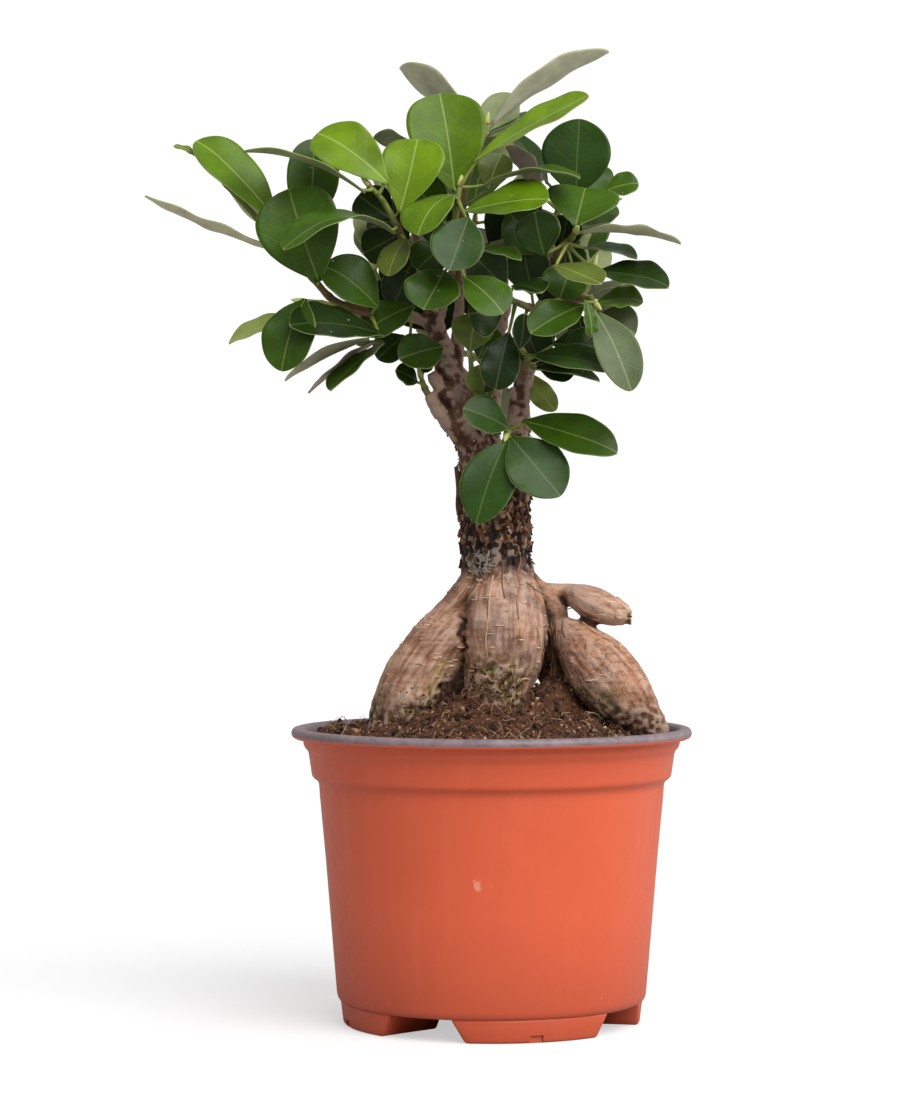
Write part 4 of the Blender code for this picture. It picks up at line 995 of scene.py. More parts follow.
# the fibrous arm right of the centre root, and the grey tuft at the neck
ARM_STRANDS, TUFT_STRANDS, LENTICELS, FLAKES = 46, 120, 210, 620
for _ in range(ARM_STRANDS):
    x = draw.uniform(15.0, 21.5)
    z = draw.uniform(103, 121)
    length = draw.uniform(4, 11)
    lean = draw.uniform(-0.18, 0.18)
    run = []
    for k in range(6):
        t = k / 5
        px = x + lean * length * t + 0.3 * math.sin(5 * t + x)
        spot, _ = on_wood(px, z - length * t, 0.12 + 0.5 * t * (1 - t))
        if spot is not None and beside(spot, run):
            run.append((spot, draw.uniform(0.12, 0.2) * MM))
    if len(run) > 3:
        rootlets.tube(run, 5, blended(linear("#6A4630"), linear("#B98C63"), draw.random() ** 2))
for _ in range(TUFT_STRANDS):
    x, z = -3.4 + draw.gauss(0, 1.5), 138.2 + draw.gauss(0, 1.5)
    way = draw.uniform(-2.4, 0.4)
    length = draw.uniform(0.8, 2.6)
    run = []
    for k in range(5):
        t = k / 4
        px, pz = x + length * t * math.cos(way + t), z + length * t * math.sin(way + t)
        spot, _ = on_wood(px, pz, 0.12 + 1.2 * t * (1 - t))
        if spot is not None and beside(spot, run):
            run.append((spot, 0.12 * MM))
    if len(run) > 3:
        rootlets.tube(run, 4, blended(linear("#877C71"), linear("#C4B9AB"), draw.random()))
# lenticels: short pale corky lips across the skin
made = 0
while made < LENTICELS:
    turn = draw.uniform(0, 2 * math.pi)
    outward = Vector((math.cos(turn), math.sin(turn), 0))
    z = draw.uniform(101, 135)
    middle = draw.choice(((1, -5), (-18, -4), (-24, -5), (31, -4), (-4, 20), (19, 18)))
    hit, normal, _, _ = wood_surface.ray_cast(place((*middle, z)) + outward * 0.05, -outward)
    if hit is None or abs(normal.z) > 0.8:
        continue
    made += 1
    across = normal.cross(Vector((0, 0, 1))).normalized()
    upward = across.cross(normal)
    half = draw.uniform(0.5, 1.7)
    thick = draw.uniform(0.16, 0.30)
    bend = draw.uniform(-0.5, 0.5)
    run = []
    for k in range(6):
        t = k / 2.5 - 1
        near = hit + across * half * t * MM + upward * bend * (1 - t * t) * MM + normal * 0.004
        down_hit, _, _, _ = wood_surface.ray_cast(near, -normal)
        if down_hit is not None and (down_hit - near).length < 6 * MM:
            run.append((down_hit + normal * 0.05 * MM, thick * math.sqrt(max(0.05, 1 - t * t)) * MM))
    if len(run) == 6:
        tone = blended(linear("#B98E72"), linear("#E2C3A6"), draw.random())
        rootlets.tube(run, 6, blended(tone, linear("#7A5A42"), 0.4 * (draw.random() < 0.3)))
roots_on_roots = rootlets.piece("rootlets_and_lenticels", loose_wood)
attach(roots_on_roots, "root")

flakes = Gathered()
FLAKE_COLOURS = [
    linear(c)
    for c in ("#4A2F20", "#704630", "#8E6044", "#B89678", "#2E1C12", "#7A4E34", "#5E4030", "#3C281C", "#A07C60")
]
# a flake is 5 rows of 4 points on top and the same below: its two sides, then its four edges
FLAKE_FACES = []
for row in range(4):
    for a in range(row * 4, row * 4 + 3):
        FLAKE_FACES += [(a, a + 1, a + 5, a + 4), (a + 20, a + 24, a + 25, a + 21)]
for a in range(0, 16, 4):
    FLAKE_FACES += [(a, a + 4, a + 24, a + 20), (a + 3, a + 23, a + 27, a + 7)]
for a in range(3):
    FLAKE_FACES += [(a, a + 20, a + 21, a + 1), (16 + a, 17 + a, 37 + a, 36 + a)]
tries = 0
placed = 0
while placed < FLAKES and tries < 9000:
    tries += 1
    turn = draw.uniform(0, 2 * math.pi)
    z = draw.uniform(137, 178) if draw.random() < 0.75 else draw.uniform(143, 158)
    outward = Vector((math.cos(turn), math.sin(turn), 0))
    aim = 1.5 - 0.1 * max(0, z - 157) if draw.random() < 0.6 else 6.0 + 0.1 * max(0, z - 157)
    hit, normal, _, _ = wood_surface.ray_cast(place((aim, 0, z)) + outward * 0.05, -outward)
    if hit is None or (hit - place((aim, 0, z))).length > 0.016:
        continue
    placed += 1
    upward = (Vector((0, 0, 1)) - normal * normal.z).normalized()
    across = upward.cross(normal)
    lean = draw.uniform(-0.5, 0.5)
    turned = upward * math.cos(lean) + across * math.sin(lean)
    upward, across = turned, across * math.cos(lean) - upward * math.sin(lean)
    tall, wide_half = draw.uniform(0.9, 2.6), draw.uniform(0.3, 0.85)
    if z > 160:
        tall, wide_half = tall * 0.7, wide_half * 0.6
    curl = draw.uniform(0.1, 0.6) * (1.8 if draw.random() < 0.12 else 1)
    thick = draw.uniform(0.25, 0.55)
    low = []
    for k in range(5):
        t = k / 4 - 0.5
        half = wide_half * (1 - 1.4 * t * t) * draw.uniform(0.8, 1.15)
        lift = 0.05 + curl * (0.5 - t) ** 2
        for s in (-1, -0.4, 0.4, 1):
            out = lift - 0.25 * s * s * half * 0.6
            low.append(hit + upward * t * tall * MM + across * s * half * MM + normal * out * MM)
    top = [p + normal * thick * MM for p in low]
    colour = draw.choice(FLAKE_COLOURS)
    if z < 144:
        colour = blended(colour, linear("#1A110B"), 0.75)
    flakes.solid(top + low, FLAKE_FACES, colour)
# a long sliver of old bark that stands off the neck's left side
SLIVER = ((-8.6, -1, 149.0, 0.6), (-9.6, -1.5, 154, 1.2), (-9.6, -1.5, 160, 1.1), (-10.7, -1.5, 166.6, 0.6))
sliver = along(SLIVER, 4)
flakes.tube(sliver, 7, [blended(linear("#3E2A1E"), linear("#6A4C38"), draw.random()) for _ in sliver])
# the stub's ragged cut end
for _ in range(16):
    turn = draw.uniform(0, 2 * math.pi)
    out = Vector((draw.uniform(0.25, 0.9), 0.6 * math.cos(turn), math.sin(turn)))
    start = place((40.6, -3.6, 121.9)) + Vector((0, 2.6 * math.cos(turn), 1.7 * math.sin(turn))) * MM
    tip = start + Vector((1.9, -0.3, -0.8)).normalized() * draw.uniform(0.6, 1.3) * MM + out * 0.3 * MM
    run = [(start.lerp(tip, k / 3), (0.75 - 0.5 * k / 3) * MM) for k in range(4)]
    flakes.tube(run, 5, blended(linear("#5A3826"), linear("#B98A6C"), draw.random()))
scales = flakes.piece("bark_flakes", loose_wood)
shape = bmesh.new()
shape.from_mesh(scales.data)
bmesh.ops.recalc_face_normals(shape, faces=shape.faces)
shape.to_mesh(scales.data)
shape.free()
scales.data.shade_flat()
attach(scales, "root")

# Earth and moss that cling to the roots' feet: lumps pressed on where the wood meets the soil.
clods = Gathered()
EARTH_COLOURS = [linear(c) for c in ("#4A3222", "#5C412C", "#6E4E38", "#776644", "#8A7A54", "#40291B", "#6E5A3C")]
# middle (x, z), spread (x, z), how many and how mossy
for x_mid, z_mid, x_wide, z_wide, number, mossy in (
    (1.0, 100.5, 8.0, 5.0, 620, 0.35), (-10.5, 98.5, 3.5, 5.0, 260, 0.15), (-20.0, 94.5, 6.0, 4.5, 330, 0.35),
    (26.0, 96.0, 4.0, 5.0, 240, 0.3), (37.0, 88.5, 8.0, 2.5, 260, 0.3), (-34.0, 88.0, 5.5, 2.5, 200, 0.3),
    (16.0, 103.0, 3.0, 5.0, 220, 0.1),
):
    for _ in range(number):
        x, z = draw.gauss(x_mid, x_wide / 1.5), draw.gauss(z_mid, z_wide / 1.5)
        if abs(x - x_mid) > 1.7 * x_wide or abs(z - z_mid) > 1.7 * z_wide:
            continue
        spot, normal = on_wood(x, z, -0.05)
        if spot is None or spot.y > 0.012:
            continue
        size = 0.14 + 0.42 * draw.random() ** 3
        stretch = [size * draw.uniform(0.6, 1.3) * MM for _ in range(3)]
        points = []
        for p in crumb_points:
            points.append(spot + Vector([a * b * draw.uniform(0.75, 1.2) for a, b in zip(p, stretch)]))
        greener = draw.random() < mossy
        clods.solid(points, crumb_faces, EARTH_COLOURS[draw.choice((3, 4, 6) if greener else (0, 1, 2, 5))])
crust = clods.piece("earth_and_moss_on_roots", loose_bits)
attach(crust, "root")


# ---------------------------------------------------------------- leafy shoots
# Shoots of the grafted fig: green stems that turn woody, each with thick, glossy, blunt-ended leaves on
# short stalks, and at the tip a pointed bud in its pale sheath.

# for each shoot its stem of (x, y, z, radius), and its leaves of (base, tip, width, way the upper face
# looks, arch, look)
SHOOTS = {
    "shoot_top": (
        ((-8.7, 4, 226, 0.9), (-9, 2, 240, 1.2), (-7, 1, 254, 1.0), (-3, 2, 264, 0.9), (-1.6, 2, 269.5, 0.7)),
        ((-5, 4, 267), (-27.8, 11, 287.5), 17, (0.5, 0.4, 0.75), 0.04, "pale_below_painted_sheen_above"),
        ((-0.5, 3, 269), (35.3, 9, 293), 16, (-0.5, 0.3, 0.8), 0.05, "pale_below_painted_sheen_above"),
        ((-1, 6, 267), (3, 33, 276), 18, (0, -0.3, 1), 0.05, "mature"),
        ((-3, 5, 266), (7.5, 16, 279.5), 12, (0.3, 0.8, 0.5), 0.03, "mature"),
        ((-20, -2, 257), (-35, 2, 266), 12, (0.4, 0.4, 0.8), 0.03, "mature"),
        ((-1, -6, 249), (3, -3, 260), 11, (0, -1, 0.5), 0.05, "olive"),
    ),
    "shoot_upper_front": (
        (
            (-9.4, 5, 218, 0.9), (-10.5, -4, 226, 1.2), (-11, -11, 236, 1.1),
            (-10.5, -15, 243, 1.0), (-9.5, -14, 249, 0.8),
        ),
        ((-11, -13, 247.5), (-15.5, -7, 277.5), 24, (0, -1, 0.25), 0.06, "fresh"),
        ((-5.8, -17, 256), (28.6, -19, 275), 15.5, (-0.4, -0.5, 0.9), 0.02, "young"),
        ((-8.5, -20, 241), (16.2, -30, 244), 18, (0, -0.6, 0.8), 0.05, "fresh"),
        ((-3, -16, 249), (25.7, -22, 251), 16, (0, -0.15, 1), 0.1, "mid"),
        ((-11, -20, 246), (-21.5, -34, 233), 16, (-0.3, -0.6, 0.8), 0.12, "fresh"),
        ((-7, -29, 238.5), (-12.5, -38, 222.5), 16, (0.1, -1, 0.5), 0.05, "blue"),
        ((-14, -7, 239), (-23, -6, 251), 14, (-0.3, -1, 0.3), 0.05, "mid"),
        ((-13, -13, 232), (-22, -19, 224), 14, (-0.3, -1, 0.4), 0.05, "dark"),
    ),
    "shoot_upper_left": (
        (
            (-19.2, 1, 219, 0.9), (-21, -6, 225, 1.2), (-25, -14, 231, 1.1), (-28, -20, 237, 1.0),
            (-32, -23, 244, 0.8), (-36, -24, 248.5, 0.7),
        ),
        ((-27, -24, 240.5), (-22, -17, 263), 19, (-0.2, -1, 0.35), 0.05, "young"),
        ((-30.5, -25, 249), (-51.5, -17, 265), 17.5, (-0.1, -0.9, 0.6), 0.05, "young"),
        ((-37, -28, 246), (-72, -35, 257.5), 12, (0, -0.1, 1), 0.08, "fresh"),
        ((-28.5, -24, 234.5), (-60, -42, 227.5), 17, (0, -0.25, 1), 0.2, "mid"),
        ((-29, -18, 238.5), (-39.5, -14, 246.5), 13, (0, -1, 0.4), 0.05, "deep"),
        ((-27.5, -14, 235), (-38, -12, 229.5), 12, (0, -1, 0.3), 0.05, "deep"),
        ((-25.5, -20, 233.5), (-30.5, -25, 222), 11, (-0.5, -0.8, 0.3), 0.08, "olive"),
    ),
    "shoot_left": (
        (
            (-35, -8, 213, 0.9), (-43, -12, 214, 1.1), (-48, -15, 216.5, 1.1), (-53, -18, 222, 1.0),
            (-60, -20, 229, 1.0), (-68, -20, 238, 0.9), (-78, -20, 249, 0.8), (-85, -20, 256, 0.6),
        ),
        ((-50.8, -22, 220.5), (-59.5, -23, 247.5), 25, (-0.1, -1, 0.3), 0.1, "mid"),
        ((-63, -22, 238), (-86.5, -20, 262.5), 17, (0.5, -0.8, 0.5), 0.06, "fresh"),
        ((-61, -18, 229), (-102, -23, 244.8), 9, (0.35, 0.25, 1), -0.01, "grey"),
        ((-61, -14, 231), (-78.5, -12, 249), 15, (0.6, 0.4, 0.7), 0.06, "grey"),
        ((-55.5, -9, 236), (-53, -6, 264), 16, (0.1, -1, 0.3), 0.05, "mature"),
        ((-86, -20, 257), (-93.5, -20, 260.5), 3.5, (0, -0.5, 1), 0.05, "olive"),
    ),
    "shoot_left_middle": (
        (
            (-31, -6, 212.6, 0.9), (-36, -14, 211.5, 1.1), (-42, -20, 212.5, 1.0),
            (-50, -24, 214, 0.9), (-55, -26, 214.5, 0.7),
        ),
        ((-33.5, -19, 213), (-49.5, -21, 225.5), 17, (0.1, -0.9, 0.7), 0.06, "mature"),
        ((-30, -10, 213), (-25, -12, 224), 13, (0, -1, 0.2), 0.05, "deep"),
        ((-32, -8, 211), (-35, -9, 221.5), 12, (0, -1, 0.2), 0.05, "deep"),
        ((-32, -22, 205), (-58.5, -37, 207), 19, (0, -0.65, 0.8), 0.04, "deep"),
        ((-54.5, -28, 215), (-61, -34, 193.5), 16.5, (-0.3, -1, 0.3), 0.1, "mature"),
        ((-55, -18, 210), (-78, -15, 203.5), 13, (-0.1, -0.5, 1), 0.05, "pale"),
    ),
    "shoot_left_low": (
        ((-21, -3, 201, 0.9), (-27, -5, 203, 1.1), (-33, -8, 203.5, 0.9), (-37, -10, 203, 0.7)),
        ((-36.5, -11, 204.5), (-61, -20, 191.8), 11.5, (-0.2, 0.3, 1), 0.03, "grey"),
        ((-35, -10, 203.5), (-54, -20, 188), 12, (-0.3, 0.2, 1), 0.02, "purple"),
        ((-32, -14, 203), (-47.3, -27, 188.4), 12, (-0.3, -0.25, 1), 0.02, "mature"),
        ((-14.5, -10, 202), (-27.3, -17, 198), 13.5, (0, -1, 0.5), 0.05, "mature"),
        ((-23, -12, 214), (-38, -17, 205.5), 13.5, (0, -0.8, 0.7), 0.05, "mature"),
        ((-26, -7, 205.5), (-34, -9, 198.5), 10, (0, -1, 0.3), 0.05, "dark"),
    ),
    "shoot_side_branch": (
        ((-17.5, -4.3, 185.5, 0.9), (-20, -6, 190, 1.0), (-21, -7, 193, 0.7)),
        ((-22, -8, 191.5), (-28.5, -12, 195), 8, (0, -0.9, 0.6), 0.05, "dark"),
        ((-20.5, -7, 194.5), (-18.5, -12, 200), 7, (0, -1, 0.5), 0.05, "deep"),
    ),
    "shoot_centre_front": (
        ((-13.5, -12, 217, 0.9), (-12, -18, 223, 1.0), (-10.5, -22, 227, 0.9), (-9, -25, 229, 0.7)),
        ((-14, -26, 223.5), (-20, -35, 211.5), 17, (-0.1, -1, 0.5), 0.06, "mature"),
        ((-8.5, -28, 221.5), (3, -36, 210.5), 14, (0.2, -1, 0.6), 0.05, "mid"),
        ((-4, -26, 229.5), (8.5, -28, 226.5), 12, (0, -0.3, 1), 0.05, "mature"),
    ),
    "shoot_centre": (
        ((15.6, 4, 213, 0.9), (11, -6, 214, 1.1), (7, -14, 215, 0.9), (4.5, -17, 215, 0.7)),
        ((6, -20, 219.5), (14.5, -27, 217), 13, (0, -0.4, 1), 0.05, "deep"),
        ((3, -18, 211.5), (-7, -20, 211), 17, (0, -1, 0.3), 0.05, "dark"),
        ((5, -15, 206), (1, -19, 189), 12, (0, -1, 0.3), 0.08, "deep"),
        ((4, -12, 219), (-6, -14, 229), 14, (0, -1, 0.3), 0.05, "dark"),
        ((9, -5, 210), (14, -8, 198), 13, (0, -1, 0.3), 0.05, "deep"),
        ((12, -4, 218), (9.5, -6, 231), 14, (0, -1, 0.2), 0.05, "dark"),
        ((14.5, -3, 216), (19, -5, 226), 12, (0, -1, 0.3), 0.05, "deep"),
    ),
    "shoot_inner": (
        ((-9.5, -3, 183, 0.9), (-6.5, -8, 187, 1.0), (-6, -10, 194, 0.9), (-6.4, -11, 199, 0.7)),
        ((-1, -11, 186.5), (-4, -13, 196.5), 11, (0, -1, 0.2), 0.05, "olive"),
        ((-4, -11, 198.5), (0.8, -12, 207.5), 11, (0, -1, 0.2), 0.05, "mature"),
        ((-3.5, -11, 188.5), (0.5, -13.5, 194), 7, (0, -1, 0.4), 0.05, "dark"),
        ((-6.4, -13, 200.5), (-4.8, -14, 211.5), 13, (0, -1, 0.3), 0.05, "olive"),
    ),
    "shoot_drooping": (
        ((7.6, 0, 177, 0.9), (6.2, -5, 177.5, 1.1), (4.8, -10, 176.8, 1.0), (4.4, -12, 176, 0.8)),
        ((5, -14, 177.6), (-8.5, -19, 183.3), 12.5, (0.1, -0.85, 0.5), 0.06, "blue"),
        ((4.4, -15, 174.3), (-4.6, -21, 149.6), 16.5, (-0.2, -1, 0.2), 0.08, "blue"),
        ((5.6, -15, 175), (20, -22, 157.5), 18.5, (0.2, -1, 0.3), 0.06, "blue"),
        ((9, -11, 180), (36.5, -23, 171), 14.5, (0.1, -0.9, 0.6), 0.03, "mature"),
        ((10, 3, 195), (19.3, 1, 183.4), 7.5, (0, -1, 0.1), 0.05, "pale"),
    ),
    "shoot_right_front": (
        (
            (20, -1, 214.6, 0.9), (24, -8, 216, 1.1), (27, -14, 216, 1.0),
            (29, -18, 215.5, 0.9), (30, -20, 214.5, 0.7),
        ),
        ((27, -22, 213.5), (11, -32, 204.5), 13, (-0.1, -0.9, 0.6), 0.05, "mature"),
        ((30, -22, 212), (40.3, -30, 188), 13.5, (0.2, -1, 0.3), 0.08, "pale_below_painted_sheen_above"),
        ((27, -26, 215), (29, -28, 204), 5, (0.5, -0.9, 0.2), 0.05, "mid"),
        ((30.5, -14, 214.5), (44.5, -16, 215.5), 12, (0, -0.6, 0.85), 0.05, "fresh"),
        ((31.5, -12, 211.5), (42.5, -12, 205.5), 13, (0, -1, 0.5), 0.05, "pale_below_painted_sheen_above"),
    ),
    "shoot_right_upper": (
        (
            (17.3, 5, 222, 0.9), (18.5, -1, 228, 1.2), (21, -8, 232, 1.1),
            (23.5, -15, 234, 1.0), (24.5, -20, 235.5, 0.8),
        ),
        ((24.5, -22, 236.8), (27.7, -10, 249), 22, (0, -1, 0.7), 0.05, "mid"),
        ((20, -5, 231), (22.5, -6, 241.5), 11, (0, -1, 0.3), 0.05, "deep"),
        ((25.5, -16, 235.6), (55.5, -20, 232), 13, (0, 0.12, 1), 0.055, "grey"),
        ((27.5, -10, 231.5), (43, -13, 228.5), 13, (0, -0.3, 1), 0.05, "mature"),
        ((30.5, -13, 224), (52, -19, 219.8), 16, (0, -0.55, 0.85), 0.05, "dark"),
        ((18, -19, 225.5), (31.5, -30, 219), 13, (0, -0.45, 0.9), 0.05, "olive"),
        ((15.5, -18, 228.5), (12.5, -21, 241), 14, (0, -1, 0.3), 0.05, "dark"),
        ((15, -5, 230), (5, -8, 242), 15, (0, -1, 0.3), 0.05, "mature"),
        ((24, -10, 227), (20, -13, 216), 14, (0, -1, 0.3), 0.05, "mature"),
    ),
    "shoot_right_top": (
        ((17.8, 5, 227, 0.9), (17.8, 5.5, 233, 1.2), (19, 6, 240, 1.1), (21, 5, 246, 1.0), (22.5, 4, 250, 0.7)),
        ((25.3, -1, 247.5), (26.3, -2, 270.5), 21, (0, -1, 0.2), 0.05, "blue"),
        ((33.5, -4, 248.5), (43.7, -6, 251), 9, (0.1, -0.9, 0.6), 0.05, "mid"),
        ((14.5, -1, 248), (4.5, -4, 262.5), 13, (0.6, 0.35, 0.7), 0.05, "purple"),
        ((17, 6, 252), (5.5, 5, 267), 13, (0.5, -0.5, 0.8), 0.05, "dark"),
        ((15, 6, 241), (3, 2, 250), 15, (0, -1, 0.4), 0.05, "mature"),
        ((25, 8, 240), (38, 12, 246), 15, (0, -0.7, 0.8), 0.05, "mature"),
    ),
    "shoot_right_low": (
        ((9.2, 0, 192, 0.9), (10, -6, 195, 1.1), (10.5, -11, 198, 0.9), (9.5, -14, 200, 0.7)),
        ((12, -16, 199), (35.5, -26, 194.5), 16, (0, -0.5, 0.85), 0.05, "blue"),
        ((12, -11, 195.5), (32, -12, 192), 13, (0, -0.3, 1), 0.04, "deep"),
        ((13, -8, 197), (24.5, -9, 194), 9, (0, -1, 0.3), 0.05, "deep"),
        ((18, -9, 203), (31.5, -11, 201.5), 12, (0, -1, 0.6), 0.05, "dark"),
        ((8, -22, 200.5), (9.3, -25, 211), 6, (0, -1, 0), 0.03, "deep"),
    ),
    "shoot_back_top": (
        ((4.6, 22.4, 219, 0.9), (4, 26, 232, 1.2), (2, 27, 243, 1.0), (0, 27, 250, 0.7)),
        ((1, 29, 253), (-4, 34, 276), 20, (0, 1, 0.3), 0.06, "fresh"),
        ((3, 29, 248), (17, 40, 257), 17, (0, 0.6, 0.8), 0.08, "fresh"),
        ((-2, 30, 248), (-22, 42, 260), 19, (0, 0.6, 0.8), 0.08, "mid"),
        ((3, 32, 244), (10, 56, 248), 19, (0, 0.3, 1), 0.1, "mid"),
        ((0, 32, 240), (-8, 54, 236), 18, (0, 0.5, 0.9), 0.08, "mature"),
    ),
    "shoot_back_right": (
        ((20, 27.6, 212.4, 0.9), (26, 33, 217, 1.1), (30, 36, 223, 1.0), (32, 37, 229, 0.7)),
        ((30, 38, 231), (29, 47, 248), 17, (0.1, -0.9, 0.5), 0.06, "mature"),
        ((32, 36, 227), (36, 44, 238), 15, (0.2, 0.7, 0.8), 0.08, "mid"),
        ((32, 40, 224), (36, 60, 221), 18, (0, 0.4, 1), 0.08, "mature"),
        ((28, 38, 220), (20, 58, 212), 18, (-0.2, 0.6, 0.8), 0.08, "mature"),
        ((29, 36, 217), (44, 44, 210), 16, (0.4, 0.6, 0.7), 0.06, "dark"),
    ),
    "shoot_back_left": (
        ((-22, 25.6, 210.2, 0.9), (-28, 30, 216, 1.1), (-33, 33, 222, 1.0), (-36, 34, 228, 0.7)),
        ((-36, 37, 231), (-32, 46, 250), 18, (-0.2, 0.9, 0.4), 0.06, "fresh"),
        ((-35, 36, 230), (-34, 50, 246), 16, (0, 0.8, 0.5), 0.08, "mid"),
        ((-36, 38, 224), (-44, 59, 221), 18, (-0.1, 0.5, 0.9), 0.08, "mature"),
        ((-30, 36, 218), (-22, 58, 213), 18, (0, 0.6, 0.8), 0.08, "mature"),
        ((-31, 33, 215), (-44, 46, 211), 16, (-0.4, 0.6, 0.7), 0.06, "dark"),
    ),
    "shoot_back_low": (
        ((0.2, 14, 188, 0.9), (-1, 22, 192, 1.1), (-2, 28, 197, 0.7)),
        ((-3, 31, 199), (-9, 50, 203), 17, (0, 0.5, 0.9), 0.08, "mature"),
        ((0, 31, 197), (10, 48, 196), 17, (0.1, 0.7, 0.7), 0.08, "dark"),
        ((0, 28, 193), (2, 42, 180), 15, (0, 1, 0.4), 0.08, "dark"),
    ),
    "shoot_left_back": (
        ((-20.4, 2, 226, 0.9), (-22, 8, 233, 1.1), (-24, 13, 240, 1.0), (-25, 15, 246, 0.7)),
        ((-25.5, 18, 248), (-28, 28, 264), 18, (-0.1, 0.9, 0.5), 0.06, "fresh"),
        ((-27, 19, 244), (-34, 40, 248), 16, (-0.2, 0.3, 1), 0.08, "mid"),
        ((-22, 18, 241), (-13, 38, 245), 17, (0.1, 0.5, 0.9), 0.08, "mature"),
        ((-23, 16, 237), (-28, 34, 232), 16, (-0.2, 0.6, 0.8), 0.08, "dark"),
        ((-25, 8, 235), (-35, 9, 245), 15, (0, -1, 0.1), 0.05, "deep"),
        ((-22, 6, 230), (-30, 7, 219.5), 15, (0, -1, 0.1), 0.05, "deep"),
    ),
    "shoot_right_back": (
        ((17.7, 5, 225, 0.9), (22, 12, 233, 1.1), (26, 17, 239, 1.0), (28, 19, 244, 0.7)),
        ((28, 21, 246), (30, 29, 262), 18, (0.2, -0.9, 0.5), 0.06, "mature"),
        ((29, 20, 243), (36, 35, 248), 15, (0.1, 0.5, 1), 0.06, "mid"),
        ((26, 21, 240), (20, 42, 245), 18, (0, 0.4, 1), 0.08, "mature"),
        ((25, 15, 238), (32, 33, 240), 16, (0.1, 0.6, 0.8), 0.08, "dark"),
    ),
    "shoot_right_behind": (
        ((16.2, 4.4, 216, 0.9), (22, 10, 217, 1.1), (28, 13, 218, 0.7)),
        ((31, 13, 219), (44, 18, 219), 15, (0.2, 0.2, 1), 0.06, "mature"),
        ((30, 15, 216), (40, 26, 208), 15, (0.4, 0.7, 0.6), 0.06, "mature"),
        ((25, 14, 213), (27, 31, 203), 14, (0, 0.5, 0.9), 0.04, "dark"),
        ((18, 9, 213), (10, 11, 202), 14, (0, -1, 0.1), 0.05, "deep"),
        ((24, 11, 221), (22, 12, 235), 14, (0, -1, 0.1), 0.05, "deep"),
        ((26, 10, 213), (29, 11, 201.5), 12, (0, -1, 0.1), 0.05, "deep"),
    ),
    "shoot_middle_back": (
        ((-9, 4.6, 222, 0.9), (-6, 10, 233, 1.0), (-5, 14, 241, 0.7)),
        ((-5, 13, 244), (-2, 31, 260), 18, (0, 0.2, 1), 0.08, "mid"),
        ((-2, 15, 241), (15, 24, 250), 17, (-0.2, 0.4, 0.9), 0.08, "mid"),
        ((-7, 17, 238), (-16, 36, 233), 17, (-0.2, 0.5, 0.9), 0.08, "mature"),
        ((-1, 6, 234), (10, 22, 229), 16, (0.1, 0.5, 0.9), 0.08, "dark"),
        ((-9, 9, 231), (-17, 10, 246), 16, (0, -1, 0.1), 0.05, "deep"),
        ((0, 12, 232), (10, 13, 246), 17, (0, -1, 0.1), 0.05, "deep"),
        ((-3, 10, 226), (-4, 11, 212), 15, (0, -1, 0.1), 0.05, "deep"),
    ),
    "shoot_left_behind": (
        ((-15, 0.5, 203, 0.9), (-18, 8, 205, 1.1), (-20, 13, 208, 0.7)),
        ((-23, 13, 209), (-36, 24, 215), 16, (-0.3, 0.4, 0.9), 0.08, "mature"),
        ((-21, 20, 203), (-21, 39, 198), 14, (0, 0.4, 0.9), 0.03, "dark"),
        ((-17, 15, 208), (-5, 34, 211), 16, (0.2, 0.5, 0.9), 0.08, "dark"),
        ((-19, 8, 208), (-26, 9, 219), 14, (0, -1, 0.1), 0.05, "deep"),
        ((-15, 8, 207), (-14, 9, 219), 13, (0, -1, 0.1), 0.05, "deep"),
    ),
}

# upper face, lower face, and how pale the veins are
LOOKS = {
    "young": ("#66840A", "#98A068", 0.40),
    "fresh": ("#527002", "#8E9664", 0.38),
    "mid": ("#3A5904", "#848C60", 0.24),
    "mature": ("#2E4A02", "#7E865E", 0.18),
    "dark": ("#203702", "#7C8460", 0.12),
    "deep": ("#182C02", "#767E5A", 0.10),
    "blue": ("#2B4710", "#80886A", 0.12),
    "olive": ("#5C6C28", "#A8A98A", 0.30),
    "pale": ("#8E9E4A", "#BDC094", 0.45),
    "grey": ("#3C4E22", "#C8C3A2", 0.22),
    "purple": ("#42532A", "#A6938A", 0.28),
    # painted sheen: this look's grey-green upper face stands for a sheen on the leaf; its pale lower face is the
    # leaf's own colour
    "pale_below_painted_sheen_above": ("#56643E", "#C4C2A4", 0.24),
}
CUP = 0.16
LEAF_THICK = 0.5
LEAF_ACROSS = 15
LEAF_LONG = 30
# how wide the blade is at each share of its length, from the stalk to the blunt tip: the leaves of
# young growth are wedges, widest near the tip, and most older ones are ovals
WEDGE = (
    (0, 0.075), (0.04, 0.12), (0.10, 0.24), (0.18, 0.40), (0.28, 0.59), (0.40, 0.78), (0.52, 0.92),
    (0.64, 0.99), (0.72, 1.0), (0.80, 0.955), (0.87, 0.845), (0.925, 0.69), (0.96, 0.50), (0.985, 0.30),
    (1.0, 0.07),
)
OVAL = (
    (0, 0.075), (0.04, 0.14), (0.10, 0.31), (0.18, 0.54), (0.28, 0.76), (0.38, 0.91), (0.48, 0.985),
    (0.56, 1.0), (0.66, 0.96), (0.76, 0.85), (0.84, 0.70), (0.905, 0.53), (0.95, 0.36), (0.982, 0.20),
    (1.0, 0.05),
)
OVAL_SHARE = {
    "young": 0.1, "fresh": 0.2, "mid": 0.25, "mature": 0.7, "dark": 0.6, "deep": 0.5, "blue": 0.85,
    "olive": 0.5, "pale": 0.7, "grey": 0.7, "purple": 0.8, "pale_below_painted_sheen_above": 0.9,
}
VEIN_STEP = 2.4

